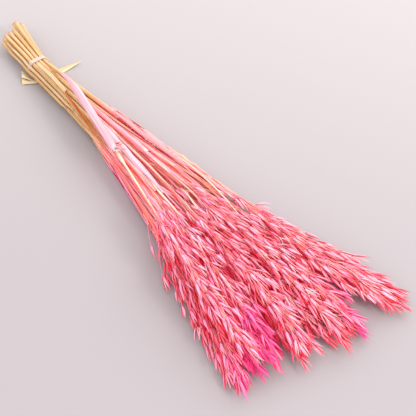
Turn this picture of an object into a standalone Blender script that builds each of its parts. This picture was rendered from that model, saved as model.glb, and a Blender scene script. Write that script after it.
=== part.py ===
"""Bundle of dried, dyed oats lying on its side, held by one elastic band.

X runs along the bundle from the cut ends to the tips of the heads, Z points up.
The bundle is laid out with the band at x = 0, and an empty then moves it so that
the origin is at the middle of its bottom. Lengths are in metres, angles in degrees.
"""

import math
import random

import bmesh
import bpy
import numpy as np
from mathutils import Matrix, Vector

MM = 0.001
SEED = 11

# The straws where the band holds them
STRAW_RADIUS = 2.4 * MM
STRAW_GAP = 0.35 * MM
PITCH = 2 * STRAW_RADIUS + STRAW_GAP
ROW_PITCH = PITCH * math.sqrt(3) / 2
BAND_THICKNESS = 1.2 * MM
BAND_WIDTH = 6 * MM
BAND_CLEARANCE = 0.3 * MM
BAND_STEPS = 24

# Rows of straws from the surface up: how many, the middle of the row in pitches,
# its level in the band, and the angles in the fan of its first and last straw.
# The last row is the one stalk that crosses over all the others.
ROWS = (
    {"count": 4, "middle": 0.0, "level": 0, "fan": (-14.2, 14.6)},
    {"count": 5, "middle": 0.0, "level": 1, "fan": (-10.4, 12.2)},
    {"count": 6, "middle": 0.0, "level": 2, "fan": (-12.2, 11.6)},
    {"count": 5, "middle": 0.0, "level": 3, "fan": (-8.8, 9.8)},
    {"count": 3, "middle": -0.5, "level": 4, "fan": (-7.6, 3.0)},
    {"count": 1, "middle": 1.5, "level": 4, "fan": (-11.4, -11.4)},
)

# The way of the straws out of the band: back to the cut ends, and on into the fan
TAIL_BEND = 0.02
TAIL_SPREAD = 7.0
TAIL_DRIFT = -0.06
TAIL_SLANT = 0.8
TAIL_LENGTH = (0.062, 0.082)
FAN_START = 0.16
FAN_BEND = (0.08, 0.3)
EDGE_BOW = 4 * MM
WIDEST_ANGLE = 14.4
FAN_FLOOR = 8.0 * MM
FAN_ROW = 6.8 * MM
RISE_END = 0.30
LONGEST = 0.558
REACH_STEP = 0.034
LEFT_SHORTER = 0.002
HEAD_SHARE = (0.5, 0.6)
EDGE_ANGLE = 6.0
EDGE_DELAY = (0.01, 0.022)
CULM_STATIONS = (-0.018, 0, 0.06, 0.13, 0.2)
CROSSING = {"start": 0.045, "bend": 0.03, "risen": 0.1, "stations": (-0.018, 0, 0.02, 0.05, 0.09, 0.13, 0.2)}
HEAD_STATIONS = (0, 0.5)

# Thickness of the stalk
SHEATH_RADIUS = (2.2 * MM, 2.4 * MM)
SHEATH_FLARE = 1.3
NECK_RADIUS = 1.25 * MM
HEAD_RADIUS = 0.95 * MM
TIP_RADIUS = 0.5 * MM
COLLAR_STEP = 1.5 * MM

# The torn sheath that the last stalk carries
SHEATH_SPAN = (0.055, 0.21)
SHEATH_WIDTH = 11 * MM
SHEATH_HEIGHT = 3.4 * MM
SHEATH_ARC = (-14.0, 196.0)
SHEATH_SHEET = 0.7 * MM
SHEATH_TEAR = (0.0, -6 * MM, -30 * MM, -10 * MM, -26 * MM)
SHEATH_STEPS = 6

# The loose leaf under the straws: its two edges from the folded end to the point, in mm
LEAF_NEAR_EDGE = ((-13, -19, 7), (4.4, -13.5, 0.85), (7.5, 6, 0.85), (9.5, 26, 1.6), (17.5, 55, 4))
LEAF_FAR_EDGE = ((4.5, -30, 1.6), (13.5, -14.5, 0.85), (15.5, 6, 0.85), (18.5, 26, 0.45), (17.5, 55, 4))
LEAF_SHEET = 0.7 * MM
LEAF_STEPS = 8

# The head: branches and spikelets on the stalk, spikelets on the branches
HEAD_PLACES = 16
BRANCH_EVERY = 3
GOLDEN_TURN = 137.5
BRANCH_LENGTH = (0.056, 0.022)
BRANCH_RADIUS = (0.5 * MM, 0.4 * MM)
BRANCH_ANGLE = (8.0, 14.0)
SPIKELETS_ON_BRANCH = (0.42, 0.8)
SPIKELET_LENGTH = (22 * MM, 27 * MM)
SPIKELET_WIDTH = 4.8 * MM
SPIKELET_DEPTH = 2.9 * MM
SPIKELET_WIDEST = 0.38
SPIKELET_ANGLE = (9.0, 24.0)
END_SPIKELET_RADIUS = 2.1 * MM
LEVELLED = 0.6

# Fineness of the meshes
CULM_SIDES = 5
SPIKELET_SIDES = 3
WELD = 0.00001

# Room kept between stalks, between what grows on one stalk, and above the surface
CLEAR = 0.45 * MM
OWN_CLEAR = 0.1 * MM
FLOOR_CLEAR = 0.1 * MM
TRIES = 16
STALK_TRIES = 60


class Rods:
    """All that has been placed, as tapering rods, to ask how much room is left."""

    def __init__(self, most=20000):
        self.start = np.empty((most, 3))
        self.along = np.empty((most, 3))
        self.radius = np.empty(most)
        self.taper = np.empty(most)
        self.stalk = np.empty(most, int)
        self.rod = np.empty(most, int)
        self.count = 0
        self.rods = 0

    def add(self, stalk, rod):
        """Adds a chain of (point, radius) and returns its number."""
        for (a, ra), (b, rb) in zip(rod, rod[1:]):
            n = self.count
            self.start[n] = a
            self.along[n] = b - a
            self.radius[n] = ra
            self.taper[n] = rb - ra
            self.stalk[n] = stalk
            self.rod[n] = self.rods
            self.count += 1
        self.rods += 1
        return self.rods - 1

    def room(self, rod, chosen, step=2 * MM, start=0.0):
        """The least gap between a chain, from a share of its length on, and the chosen rods."""
        centres, radii = spaced(rod, step, start)
        low = centres[:, 0].min() - 6 * MM
        high = centres[:, 0].max() + 6 * MM
        n = self.count
        first = self.start[:n, 0]
        last = first + self.along[:n, 0]
        near = chosen & (np.maximum(first, last) > low) & (np.minimum(first, last) < high)
        if not near.any():
            return math.inf
        begin, along = self.start[:n][near], self.along[:n][near]
        offset = centres[:, None] - begin
        share = ((offset * along).sum(2) / (along * along).sum(1)).clip(0, 1)
        apart = np.linalg.norm(offset - share[..., None] * along, axis=2)
        gaps = apart - self.radius[:n][near] - share * self.taper[:n][near] - radii[:, None]
        return gaps.min()


def spaced(rod, step, start):
    """Points and radii every step along a chain, from a share of its length on."""
    points = np.array([p for p, _ in rod])
    radii = np.array([r for _, r in rod])
    lengths = np.linalg.norm(np.diff(points, axis=0), axis=1)
    way = np.concatenate([[0], lengths.cumsum()])
    count = max(3, math.ceil((1 - start) * way[-1] / step) + 1)
    at = np.linspace(start * way[-1], way[-1], count)
    centres = np.stack([np.interp(at, way, points[:, k]) for k in range(3)], axis=1)
    return centres, np.interp(at, way, radii)


def smooth(x):
    x = min(max(x, 0.0), 1.0)
    return x * x * (3 - 2 * x)


def mix(pair, share):
    return pair[0] + (pair[1] - pair[0]) * share


class Stalk:
    """One oat stalk: where it lies, and what grows on it."""

    def __init__(self, number, row, column, draw):
        rows = ROWS[row]
        across = column - (rows["count"] - 1) / 2
        share = column / max(rows["count"] - 1, 1)
        self.number = number
        self.row = row
        self.y = (across + rows["middle"]) * PITCH
        self.z = BAND_THICKNESS + BAND_CLEARANCE + STRAW_RADIUS + rows["level"] * ROW_PITCH
        angle = mix(rows["fan"], share) + (0 if share in (0, 1) else draw.uniform(-1.0, 1.0))
        self.slope = math.tan(math.radians(angle))
        self.rise = FAN_FLOOR + row * FAN_ROW - self.z
        self.tail = draw.uniform(*TAIL_LENGTH) + TAIL_SLANT * self.y
        self.kick = draw.uniform(-0.6, 0.6)
        self.reach = LONGEST - draw.random()**2 * REACH_STEP * (1 + 0.3 * row) - LEFT_SHORTER * max(0, -angle)
        late = EDGE_DELAY[angle > 0] * max(0, abs(angle) - EDGE_ANGLE)
        self.head = self.reach * (draw.uniform(*HEAD_SHARE) + late)
        self.start = FAN_START
        self.bend = mix(FAN_BEND, (angle / WIDEST_ANGLE + 1) / 2)
        self.risen = RISE_END
        self.stations = CULM_STATIONS
        if row == len(ROWS) - 1:
            self.start, self.bend, self.risen, self.stations = CROSSING.values()
        self.bow = draw.uniform(-2, 2) * MM + EDGE_BOW * (angle / WIDEST_ANGLE)**3
        self.hook = draw.uniform(-9, 9) * MM
        self.droop = min(self.z + self.rise - FAN_FLOOR, draw.uniform(6, 14) * MM)
        self.radius = draw.uniform(*SHEATH_RADIUS)
        self.collar = draw.uniform(0.15, self.head - 0.02)
        self.end_spikelet = draw.uniform(*SPIKELET_LENGTH)
        self.chain = self.culm()
        self.branches = []
        self.spikelets = []

    def centre(self, x):
        """The middle of the stalk, by its distance x from the band."""
        if x < 0:
            out = TAIL_SPREAD * (math.hypot(x, TAIL_BEND) - TAIL_BEND)
            y = self.y * (1 + out) + (TAIL_DRIFT * x + self.kick * x * x) * smooth(-x / TAIL_BEND)
            return Vector((x, y, self.z * (1 + 0.1 * out * self.row)))
        way = self.slope * (self.turned(x) - self.turned(0))
        end = max(0.0, (x - self.head) / (self.reach - self.head))
        y = self.y + way + self.bow * math.sin(math.pi * min(1, x / self.reach)) + self.hook * end**3
        z = self.z + self.rise * smooth(x / self.risen) - self.droop * end**2
        return Vector((x, y, z))

    def turned(self, x):
        """How far the stalk has gone along its own angle in the fan."""
        return (math.hypot(x - self.start, self.bend) + x - self.start) / 2

    def direction(self, x):
        """The way that the stalk points."""
        return (self.centre(x + MM) - self.centre(x - MM)).normalized()

    def thickness(self, x):
        """Radius of the stalk: a sheath that widens up to the collar, then a taper to the tip."""
        if x <= self.collar:
            return self.radius * mix((1, SHEATH_FLARE), smooth(x / self.collar))
        if x < self.head:
            return mix((NECK_RADIUS, HEAD_RADIUS), (x - self.collar) / (self.head - self.collar))
        return mix((HEAD_RADIUS, TIP_RADIUS), (x - self.head) / (self.reach - self.head))

    def at(self, share):
        """The distance from the band of a share of the head's bare stalk."""
        return self.head + (self.reach - self.end_spikelet - self.head) * share

    def culm(self):
        """The whole stalk from its cut end to its tip, as a chain of points and radii."""
        places = [-self.tail, self.collar, self.collar + COLLAR_STEP, self.at(1)]
        places += [x for x in self.stations if x < self.head - 0.02]
        places += [self.at(share) for share in HEAD_STATIONS]
        chain = [(self.centre(x), self.thickness(x)) for x in sorted(places)]
        widest = self.centre(self.at(1) + self.end_spikelet * SPIKELET_WIDEST)
        return chain + [(widest, END_SPIKELET_RADIUS), (self.centre(self.reach), 0)]

    def root(self, x):
        """A point on the tube's own straight stretches."""
        for (a, _), (b, _) in zip(self.chain, self.chain[1:]):
            if x <= b.x:
                break
        return a.lerp(b, (x - a.x) / (b.x - a.x))


def side_of(direction, turn):
    """A vector square to the direction, turned round it from the horizontal and levelled."""
    level = direction.cross(Vector((0, 0, 1))).normalized()
    side = level * math.cos(turn) + level.cross(direction) * math.sin(turn)
    side.z *= LEVELLED
    return side


def lay_stalks(rods):
    """Lays every stalk clear of those before it, with new random draws until it is."""
    stalks = []
    for row, rows in enumerate(ROWS):
        for column in range(rows["count"]):
            number = len(stalks)
            best = (-math.inf, None)
            for attempt in range(STALK_TRIES):
                stalk = Stalk(number, row, column, random.Random(f"{SEED}-{number}-{attempt}"))
                gap = rods.room(stalk.chain, np.ones(rods.count, bool))
                if gap > best[0]:
                    best = (gap, stalk)
                if gap > CLEAR / 2:
                    break
            rods.add(number, best[1].chain)
            stalks.append(best[1])
    return stalks


def is_clear(rods, stalk, rod, parent, start):
    """Whether a chain is above the surface and clear of all but the rod that it grows on."""
    if min(p.z - r for p, r in rod) < FLOOR_CLEAR:
        return False
    others = rods.stalk[: rods.count] != stalk.number
    if rods.room(rod, others) < CLEAR:
        return False
    own = ~others & (rods.rod[: rods.count] != parent)
    return rods.room(rod, own, start=start) >= OWN_CLEAR


def grow_spikelet(rods, stalk, root, axis, parent, turn, draw):
    """One spikelet on its root, in the first drawn direction that is clear of the rest."""
    for attempt in range(TRIES):
        side = side_of(axis, turn + draw.uniform(-0.4, 0.4) * (1 + attempt))
        direction = (axis + side * math.tan(math.radians(draw.uniform(*SPIKELET_ANGLE)))).normalized()
        length = draw.uniform(*SPIKELET_LENGTH)
        widest = root + direction * length * SPIKELET_WIDEST
        rod = [(root, 0.3 * MM), (widest, SPIKELET_WIDTH / 2), (root + direction * length, 0)]
        if is_clear(rods, stalk, rod, parent, 0.4):
            rods.add(stalk.number, rod)
            stalk.spikelets.append((root, direction, length, side))
            return


def grow_branch(rods, stalk, parent, x, share, turn, draw):
    """One branch with its spikelets, bending to run along with the stalk."""
    start = stalk.root(x)
    axis = stalk.direction(x)
    bare = mix(BRANCH_LENGTH, share)
    for attempt in range(TRIES):
        side = side_of(axis, turn + draw.uniform(-0.4, 0.4) * (1 + 0.5 * attempt))
        out = math.tan(math.radians(draw.uniform(*BRANCH_ANGLE)))
        length = draw.uniform(*SPIKELET_LENGTH)
        middle = start + (axis + side * out).normalized() * bare / 2
        later = (stalk.direction(x + bare * 0.7) + side * out * 0.4).normalized()
        end = middle + later * bare / 2
        widest = end + later * length * SPIKELET_WIDEST
        rod = [(start, BRANCH_RADIUS[0]), (middle, BRANCH_RADIUS[0]), (end, BRANCH_RADIUS[1]),
               (widest, END_SPIKELET_RADIUS), (end + later * length, 0)]
        if is_clear(rods, stalk, rod, parent, 0.25):
            break
    else:
        return
    stalk.branches.append(rod)
    branch = rods.add(stalk.number, rod)
    for place in SPIKELETS_ON_BRANCH:
        turn += math.pi
        root = start.lerp(middle, place * 2) if place < 0.5 else middle.lerp(end, place * 2 - 1)
        grow_spikelet(rods, stalk, root, later, branch, turn, draw)


def grow_head(rods, stalk):
    draw = random.Random(f"{SEED}-head-{stalk.number}")
    turn = draw.uniform(0, 2 * math.pi)
    for n in range(HEAD_PLACES):
        share = n / HEAD_PLACES
        turn += math.radians(GOLDEN_TURN)
        x = stalk.at(share)
        if n % BRANCH_EVERY == 0:
            grow_branch(rods, stalk, stalk.number, x, share, turn, draw)
        else:
            grow_spikelet(rods, stalk, stalk.root(x), stalk.direction(x), stalk.number, turn, draw)


def new_object(name, mesh, where):
    made = bpy.data.objects.new(name, mesh)
    where.objects.link(made)
    return made


def as_mesh(source, name, where, weld=True):
    """A mesh object made from a curve with its caps welded, or from an object with its modifiers."""
    graph = bpy.context.evaluated_depsgraph_get()
    mesh = bpy.data.meshes.new_from_object(source.evaluated_get(graph))
    if weld:
        work = bmesh.new()
        work.from_mesh(mesh)
        bmesh.ops.remove_doubles(work, verts=work.verts, dist=WELD)
        bmesh.ops.recalc_face_normals(work, faces=work.faces)
        work.to_mesh(mesh)
        work.free()
    place = source.matrix_world.copy()
    bpy.data.objects.remove(source)
    mesh.name = name
    made = new_object(name, mesh, where)
    made.matrix_world = place
    return made


def ring(name, sides, helpers):
    """A flat ring of radius 1 that a tube takes its section from."""
    curve = bpy.data.curves.new(name, "CURVE")
    curve.dimensions = "2D"
    spline = curve.splines.new("POLY")
    spline.points.add(sides - 1)
    for k, point in enumerate(spline.points):
        turn = 2 * math.pi * k / sides
        point.co = (math.cos(turn), math.sin(turn), 0, 1)
    spline.use_cyclic_u = True
    made = new_object(name, curve, helpers)
    made.hide_render = True
    made.display_type = "WIRE"
    return made


def tube(name, chain, section, where):
    """A closed tube through a chain of points and radii."""
    curve = bpy.data.curves.new(name, "CURVE")
    curve.dimensions = "3D"
    curve.bevel_mode = "OBJECT"
    curve.bevel_object = section
    curve.use_fill_caps = True
    spline = curve.splines.new("POLY")
    spline.points.add(len(chain) - 1)
    for point, (place, radius) in zip(spline.points, chain):
        point.co = (*place, 1)
        point.radius = radius
    return as_mesh(new_object(name, curve, where), name, where)


def spikelet(name, base, direction, length, side, where):
    """One slim pointed spikelet, its flat face towards what it grows on."""
    work = bmesh.new()
    bmesh.ops.create_uvsphere(work, u_segments=SPIKELET_SIDES, v_segments=2, radius=1)
    across = direction.cross(side).normalized()
    turn = Matrix((across, direction.cross(across), direction)).transposed()
    for vert in work.verts:
        wide, deep, up = vert.co
        if abs(up) < 0.5:
            up = 2 * SPIKELET_WIDEST - 1
        vert.co = base + turn @ Vector((wide * SPIKELET_WIDTH, deep * SPIKELET_DEPTH, (up + 1) * length)) / 2
    mesh = bpy.data.meshes.new(name)
    work.to_mesh(mesh)
    work.free()
    return new_object(name, mesh, where)


def fuse(body, extras):
    """Joins a collection's objects to the body by one Boolean union, and removes them."""
    union = body.modifiers.new("union", "BOOLEAN")
    union.operation = "UNION"
    union.operand_type = "COLLECTION"
    union.collection = extras
    union.solver = "MANIFOLD"
    name = body.name
    body.name = name + "_bare"
    body.data.name = name + "_bare"
    made = as_mesh(body, name, body.users_collection[0], weld=False)
    for extra in list(extras.objects):
        bpy.data.objects.remove(extra)
    return made


def sheet(name, shape, steps, thickness, where):
    """A bent blade: a flat grid shaped by a function of its length and width, made solid."""
    work = bmesh.new()
    bmesh.ops.create_grid(work, x_segments=steps[0], y_segments=steps[1], size=1)
    for vert in work.verts:
        vert.co = shape((vert.co.x + 1) / 2, vert.co.y)
    bmesh.ops.remove_doubles(work, verts=work.verts, dist=WELD)
    bmesh.ops.triangulate(work, faces=work.faces)
    bmesh.ops.recalc_face_normals(work, faces=work.faces)
    mesh = bpy.data.meshes.new(name)
    work.to_mesh(mesh)
    work.free()
    made = new_object(name, mesh, where)
    solid = made.modifiers.new("sheet", "SOLIDIFY")
    solid.thickness = thickness
    solid.offset = 0
    return as_mesh(made, name, where)


def torn_sheath(stalk, where):
    """The wide dry sheath round the last stalk, open below and torn at its far end."""
    def shape(along, across):
        tear = SHEATH_TEAR[round((across + 1) / 2 * (len(SHEATH_TEAR) - 1))]
        x = mix(SHEATH_SPAN, along) + tear * along**3
        turn = math.radians(mix(SHEATH_ARC, (across + 1) / 2))
        wide = mix((stalk.radius * 0.9, SHEATH_WIDTH / 2), smooth(along * 3))
        high = mix((stalk.radius * 0.9, SHEATH_HEIGHT), smooth(along * 3))
        return stalk.centre(x) + Vector((0, wide * math.cos(turn), high * math.sin(turn)))

    return sheet("sheath", shape, (SHEATH_STEPS, len(SHEATH_TEAR) - 1), SHEATH_SHEET, where)


def make_leaf(bundle):
    """The loose leaf blade, held between the surface and the straws just past the band."""
    def edge(points, along):
        at = along * (len(points) - 1)
        return Vector([np.interp(at, range(len(points)), axis) for axis in zip(*points)]) * MM

    def shape(along, across):
        return edge(LEAF_NEAR_EDGE, along).lerp(edge(LEAF_FAR_EDGE, along), (across + 1) / 2)

    return sheet("loose_leaf", shape, (LEAF_STEPS, 2), LEAF_SHEET, bundle)


def make_band(stalks, bundle):
    """The elastic band: the straws' outline, drawn out along X and thickened outwards."""
    outline = []
    for k in range(BAND_STEPS):
        turn = 2 * math.pi * (k + 0.5) / BAND_STEPS
        way = Vector((0, math.cos(turn), math.sin(turn)))
        outer = max((stalk.centre(0) for stalk in stalks), key=way.dot)
        outline.append(outer + way * (STRAW_RADIUS + BAND_CLEARANCE) / math.cos(math.pi / BAND_STEPS))
    curve = bpy.data.curves.new("tie_band", "CURVE")
    curve.dimensions = "2D"
    curve.fill_mode = "NONE"
    curve.extrude = BAND_WIDTH / 2
    spline = curve.splines.new("POLY")
    spline.points.add(BAND_STEPS - 1)
    for point, place in zip(spline.points, outline):
        point.co = (place.y, place.z, 0, 1)
    spline.use_cyclic_u = True
    drawn = new_object("tie_band_outline", curve, bundle)
    drawn.matrix_world = Matrix(((0, 0, 1), (1, 0, 0), (0, 1, 0))).to_4x4()
    bpy.context.view_layer.update()
    band = as_mesh(drawn, "tie_band", bundle)
    solid = band.modifiers.new("thickness", "SOLIDIFY")
    solid.thickness = BAND_THICKNESS
    solid.offset = 1
    solid.use_even_offset = True
    return band


def finish(name, colour, roughness):
    """A plain Principled material."""
    made = bpy.data.materials.new(name)
    made.use_nodes = True
    shader = made.node_tree.nodes["Principled BSDF"]
    shader.inputs["Base Color"].default_value = (*colour, 1)
    shader.inputs["Roughness"].default_value = roughness
    shader.inputs["Metallic"].default_value = 0
    return made


def make_stalk(stalk, sections, bundle, extras):
    """The node of one stalk: its culm with the branches and spikelets fused on."""
    body = tube(f"oat_stalk_{stalk.number + 1:02d}", stalk.chain, sections["culm"], bundle)
    for k, branch in enumerate(stalk.branches):
        tube(f"branch_{k}", branch, sections["branch"], extras)
    for k, placed in enumerate(stalk.spikelets):
        spikelet(f"spikelet_{k}", *placed, extras)
    if stalk.row == len(ROWS) - 1:
        torn_sheath(stalk, extras)
    return fuse(body, extras)


def main():
    for thing in list(bpy.data.objects):
        bpy.data.objects.remove(thing)
    bundle = bpy.data.collections.new("dried oat bundle")
    helpers = bpy.data.collections.new("helpers")
    extras = bpy.data.collections.new("extras")
    for made in (bundle, helpers, extras):
        bpy.context.scene.collection.children.link(made)
    sections = {"culm": ring("culm_section", CULM_SIDES, helpers),
                "branch": ring("branch_section", SPIKELET_SIDES, helpers)}
    rods = Rods()
    stalks = lay_stalks(rods)
    for stalk in stalks:
        grow_head(rods, stalk)
    oats = finish("dyed oat", (0.83, 0.30, 0.36), 0.6)
    for stalk in stalks:
        make_stalk(stalk, sections, bundle, extras).data.materials.append(oats)
    make_band(stalks, bundle).data.materials.append(finish("elastic band", (0.85, 0.80, 0.72), 0.4))
    make_leaf(bundle).data.materials.append(finish("bare straw", (0.77, 0.58, 0.30), 0.6))
    frame = bpy.data.objects.new("bundle_origin", None)
    bundle.objects.link(frame)
    bpy.context.view_layer.update()
    corners = [made.matrix_world @ Vector(corner)
               for made in bundle.objects if made.type == "MESH" for corner in made.bound_box]
    for made in bundle.objects:
        if made.type == "MESH":
            made.parent = frame
    low, high = ([pick(axis) for axis in zip(*corners)] for pick in (min, max))
    frame.location = (-(low[0] + high[0]) / 2, -(low[1] + high[1]) / 2, -low[2])


main()
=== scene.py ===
import math
import random

import bpy
import numpy as np
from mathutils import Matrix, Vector


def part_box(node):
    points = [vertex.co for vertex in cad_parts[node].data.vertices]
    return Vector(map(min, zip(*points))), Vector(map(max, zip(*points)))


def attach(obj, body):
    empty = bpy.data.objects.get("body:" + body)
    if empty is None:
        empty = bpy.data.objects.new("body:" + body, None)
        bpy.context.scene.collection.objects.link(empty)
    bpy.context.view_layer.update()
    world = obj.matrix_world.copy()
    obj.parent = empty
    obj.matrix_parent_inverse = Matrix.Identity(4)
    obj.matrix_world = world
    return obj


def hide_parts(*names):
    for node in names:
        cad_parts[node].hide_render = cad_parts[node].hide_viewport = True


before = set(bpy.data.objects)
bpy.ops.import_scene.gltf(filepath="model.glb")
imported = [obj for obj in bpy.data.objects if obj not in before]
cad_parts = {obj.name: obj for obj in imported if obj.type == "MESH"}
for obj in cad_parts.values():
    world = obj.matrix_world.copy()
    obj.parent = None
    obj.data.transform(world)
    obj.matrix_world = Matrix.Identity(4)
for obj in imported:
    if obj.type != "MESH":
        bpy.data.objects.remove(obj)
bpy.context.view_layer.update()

mm = 0.001

# the same stalks, branches and spikelets as the solids, so that each fine piece sits on its node

seed = 11
straws = {"radius": 2.4 * mm, "gap": 0.35 * mm}
pitch = 2 * straws["radius"] + straws["gap"]
rowPitch = pitch * math.sqrt(3) / 2
band = {"thickness": 1.2 * mm, "width": 6 * mm, "clearance": 0.3 * mm, "steps": 24}

# rows from the surface up: how many straws, their middle in pitches, level in the band, fan angles
rows = (
    {"count": 4, "middle": 0.0, "level": 0, "fan": (-14.2, 14.6)},
    {"count": 5, "middle": 0.0, "level": 1, "fan": (-10.4, 12.2)},
    {"count": 6, "middle": 0.0, "level": 2, "fan": (-12.2, 11.6)},
    {"count": 5, "middle": 0.0, "level": 3, "fan": (-8.8, 9.8)},
    {"count": 3, "middle": -0.5, "level": 4, "fan": (-7.6, 3.0)},
    {"count": 1, "middle": 1.5, "level": 4, "fan": (-11.4, -11.4)},
)
# the cut ends behind the band
tail = {"bend": 0.02, "spread": 7.0, "drift": -0.06, "slant": 0.8, "length": (0.062, 0.082),
        "kick": (-0.6, 0.6), "lift": 0.1}
# the stalks past the band, in metres from it; stray is in degrees, and sway, hook and droop in mm
fan = {"start": 0.16, "bend": (0.08, 0.3), "bow": 4 * mm, "widest": 14.4, "floor": 8.0 * mm,
       "row": 6.8 * mm, "risen": 0.30, "longest": 0.558, "step": 0.034, "rowStep": 0.3,
       "leftShorter": 0.002, "head": (0.5, 0.6), "edgeAngle": 6.0, "edgeDelay": (0.01, 0.022),
       "stray": (-1.0, 1.0), "sway": (-2, 2), "hook": (-9, 9), "droop": (6, 14),
       "stations": (-0.018, 0, 0.06, 0.13, 0.2), "headStations": (0, 0.5)}
crossing = {"start": 0.045, "bend": 0.03, "risen": 0.1,
            "stations": (-0.018, 0, 0.02, 0.05, 0.09, 0.13, 0.2)}
thick = {"sheath": (2.2 * mm, 2.4 * mm), "flare": 1.3, "neck": 1.25 * mm, "head": 0.95 * mm,
         "tip": 0.5 * mm, "collar": 1.5 * mm, "collarFrom": 0.15, "bare": 0.02}
# free is the share of a rod, from its root, that may touch what else grows on its stalk
heads = {"places": 16, "branchEvery": 3, "turn": 137.5, "branchLength": (0.056, 0.022),
         "branchRadius": (0.5 * mm, 0.4 * mm), "branchAngle": (8.0, 14.0), "onBranch": (0.42, 0.8),
         "length": (22 * mm, 27 * mm), "width": 4.8 * mm, "widest": 0.38, "angle": (9.0, 24.0),
         "endRadius": 2.1 * mm, "levelled": 0.6, "stray": (-0.4, 0.4), "foot": 0.3 * mm,
         "spikeletFree": 0.4, "branchFree": 0.25}
room = {"stalks": 0.45 * mm, "own": 0.1 * mm, "floor": 0.1 * mm, "tries": 16, "stalkTries": 60,
        "step": 2 * mm, "near": 6 * mm}


class Rods:
    # all that has been placed, as tapering rods, to ask how much room is left
    def __init__(self, most=20000):
        self.start, self.along = np.empty((2, most, 3))
        self.radius, self.taper = np.empty((2, most))
        self.stalk, self.rod = np.empty((2, most), int)
        self.count = 0
        self.rods = 0

    def add(self, stalk, rod):
        for (a, ra), (b, rb) in zip(rod, rod[1:]):
            n = self.count
            self.start[n], self.along[n] = a, b - a
            self.radius[n], self.taper[n] = ra, rb - ra
            self.stalk[n], self.rod[n] = stalk, self.rods
            self.count += 1
        self.rods += 1
        return self.rods - 1

    def room(self, rod, chosen, step=room["step"], start=0.0):
        centres, radii = spaced(rod, step, start)
        low = centres[:, 0].min() - room["near"]
        high = centres[:, 0].max() + room["near"]
        n = self.count
        first = self.start[:n, 0]
        last = first + self.along[:n, 0]
        near = chosen & (np.maximum(first, last) > low) & (np.minimum(first, last) < high)
        if not near.any():
            return math.inf
        begin, along = self.start[:n][near], self.along[:n][near]
        offset = centres[:, None] - begin
        share = ((offset * along).sum(2) / (along * along).sum(1)).clip(0, 1)
        apart = np.linalg.norm(offset - share[..., None] * along, axis=2)
        gaps = apart - self.radius[:n][near] - share * self.taper[:n][near] - radii[:, None]
        return gaps.min()


def spaced(rod, step, start):
    # points and radii every step along a rod, from a share of its length on
    points = np.array([p for p, _ in rod])
    radii = np.array([r for _, r in rod])
    lengths = np.linalg.norm(np.diff(points, axis=0), axis=1)
    way = np.concatenate([[0], lengths.cumsum()])
    count = max(3, math.ceil((1 - start) * way[-1] / step) + 1)
    at = np.linspace(start * way[-1], way[-1], count)
    centres = np.stack([np.interp(at, way, points[:, k]) for k in range(3)], axis=1)
    return centres, np.interp(at, way, radii)


def smooth(x):
    x = min(max(x, 0.0), 1.0)
    return x * x * (3 - 2 * x)


def mix(pair, share):
    return pair[0] + (pair[1] - pair[0]) * share


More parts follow.
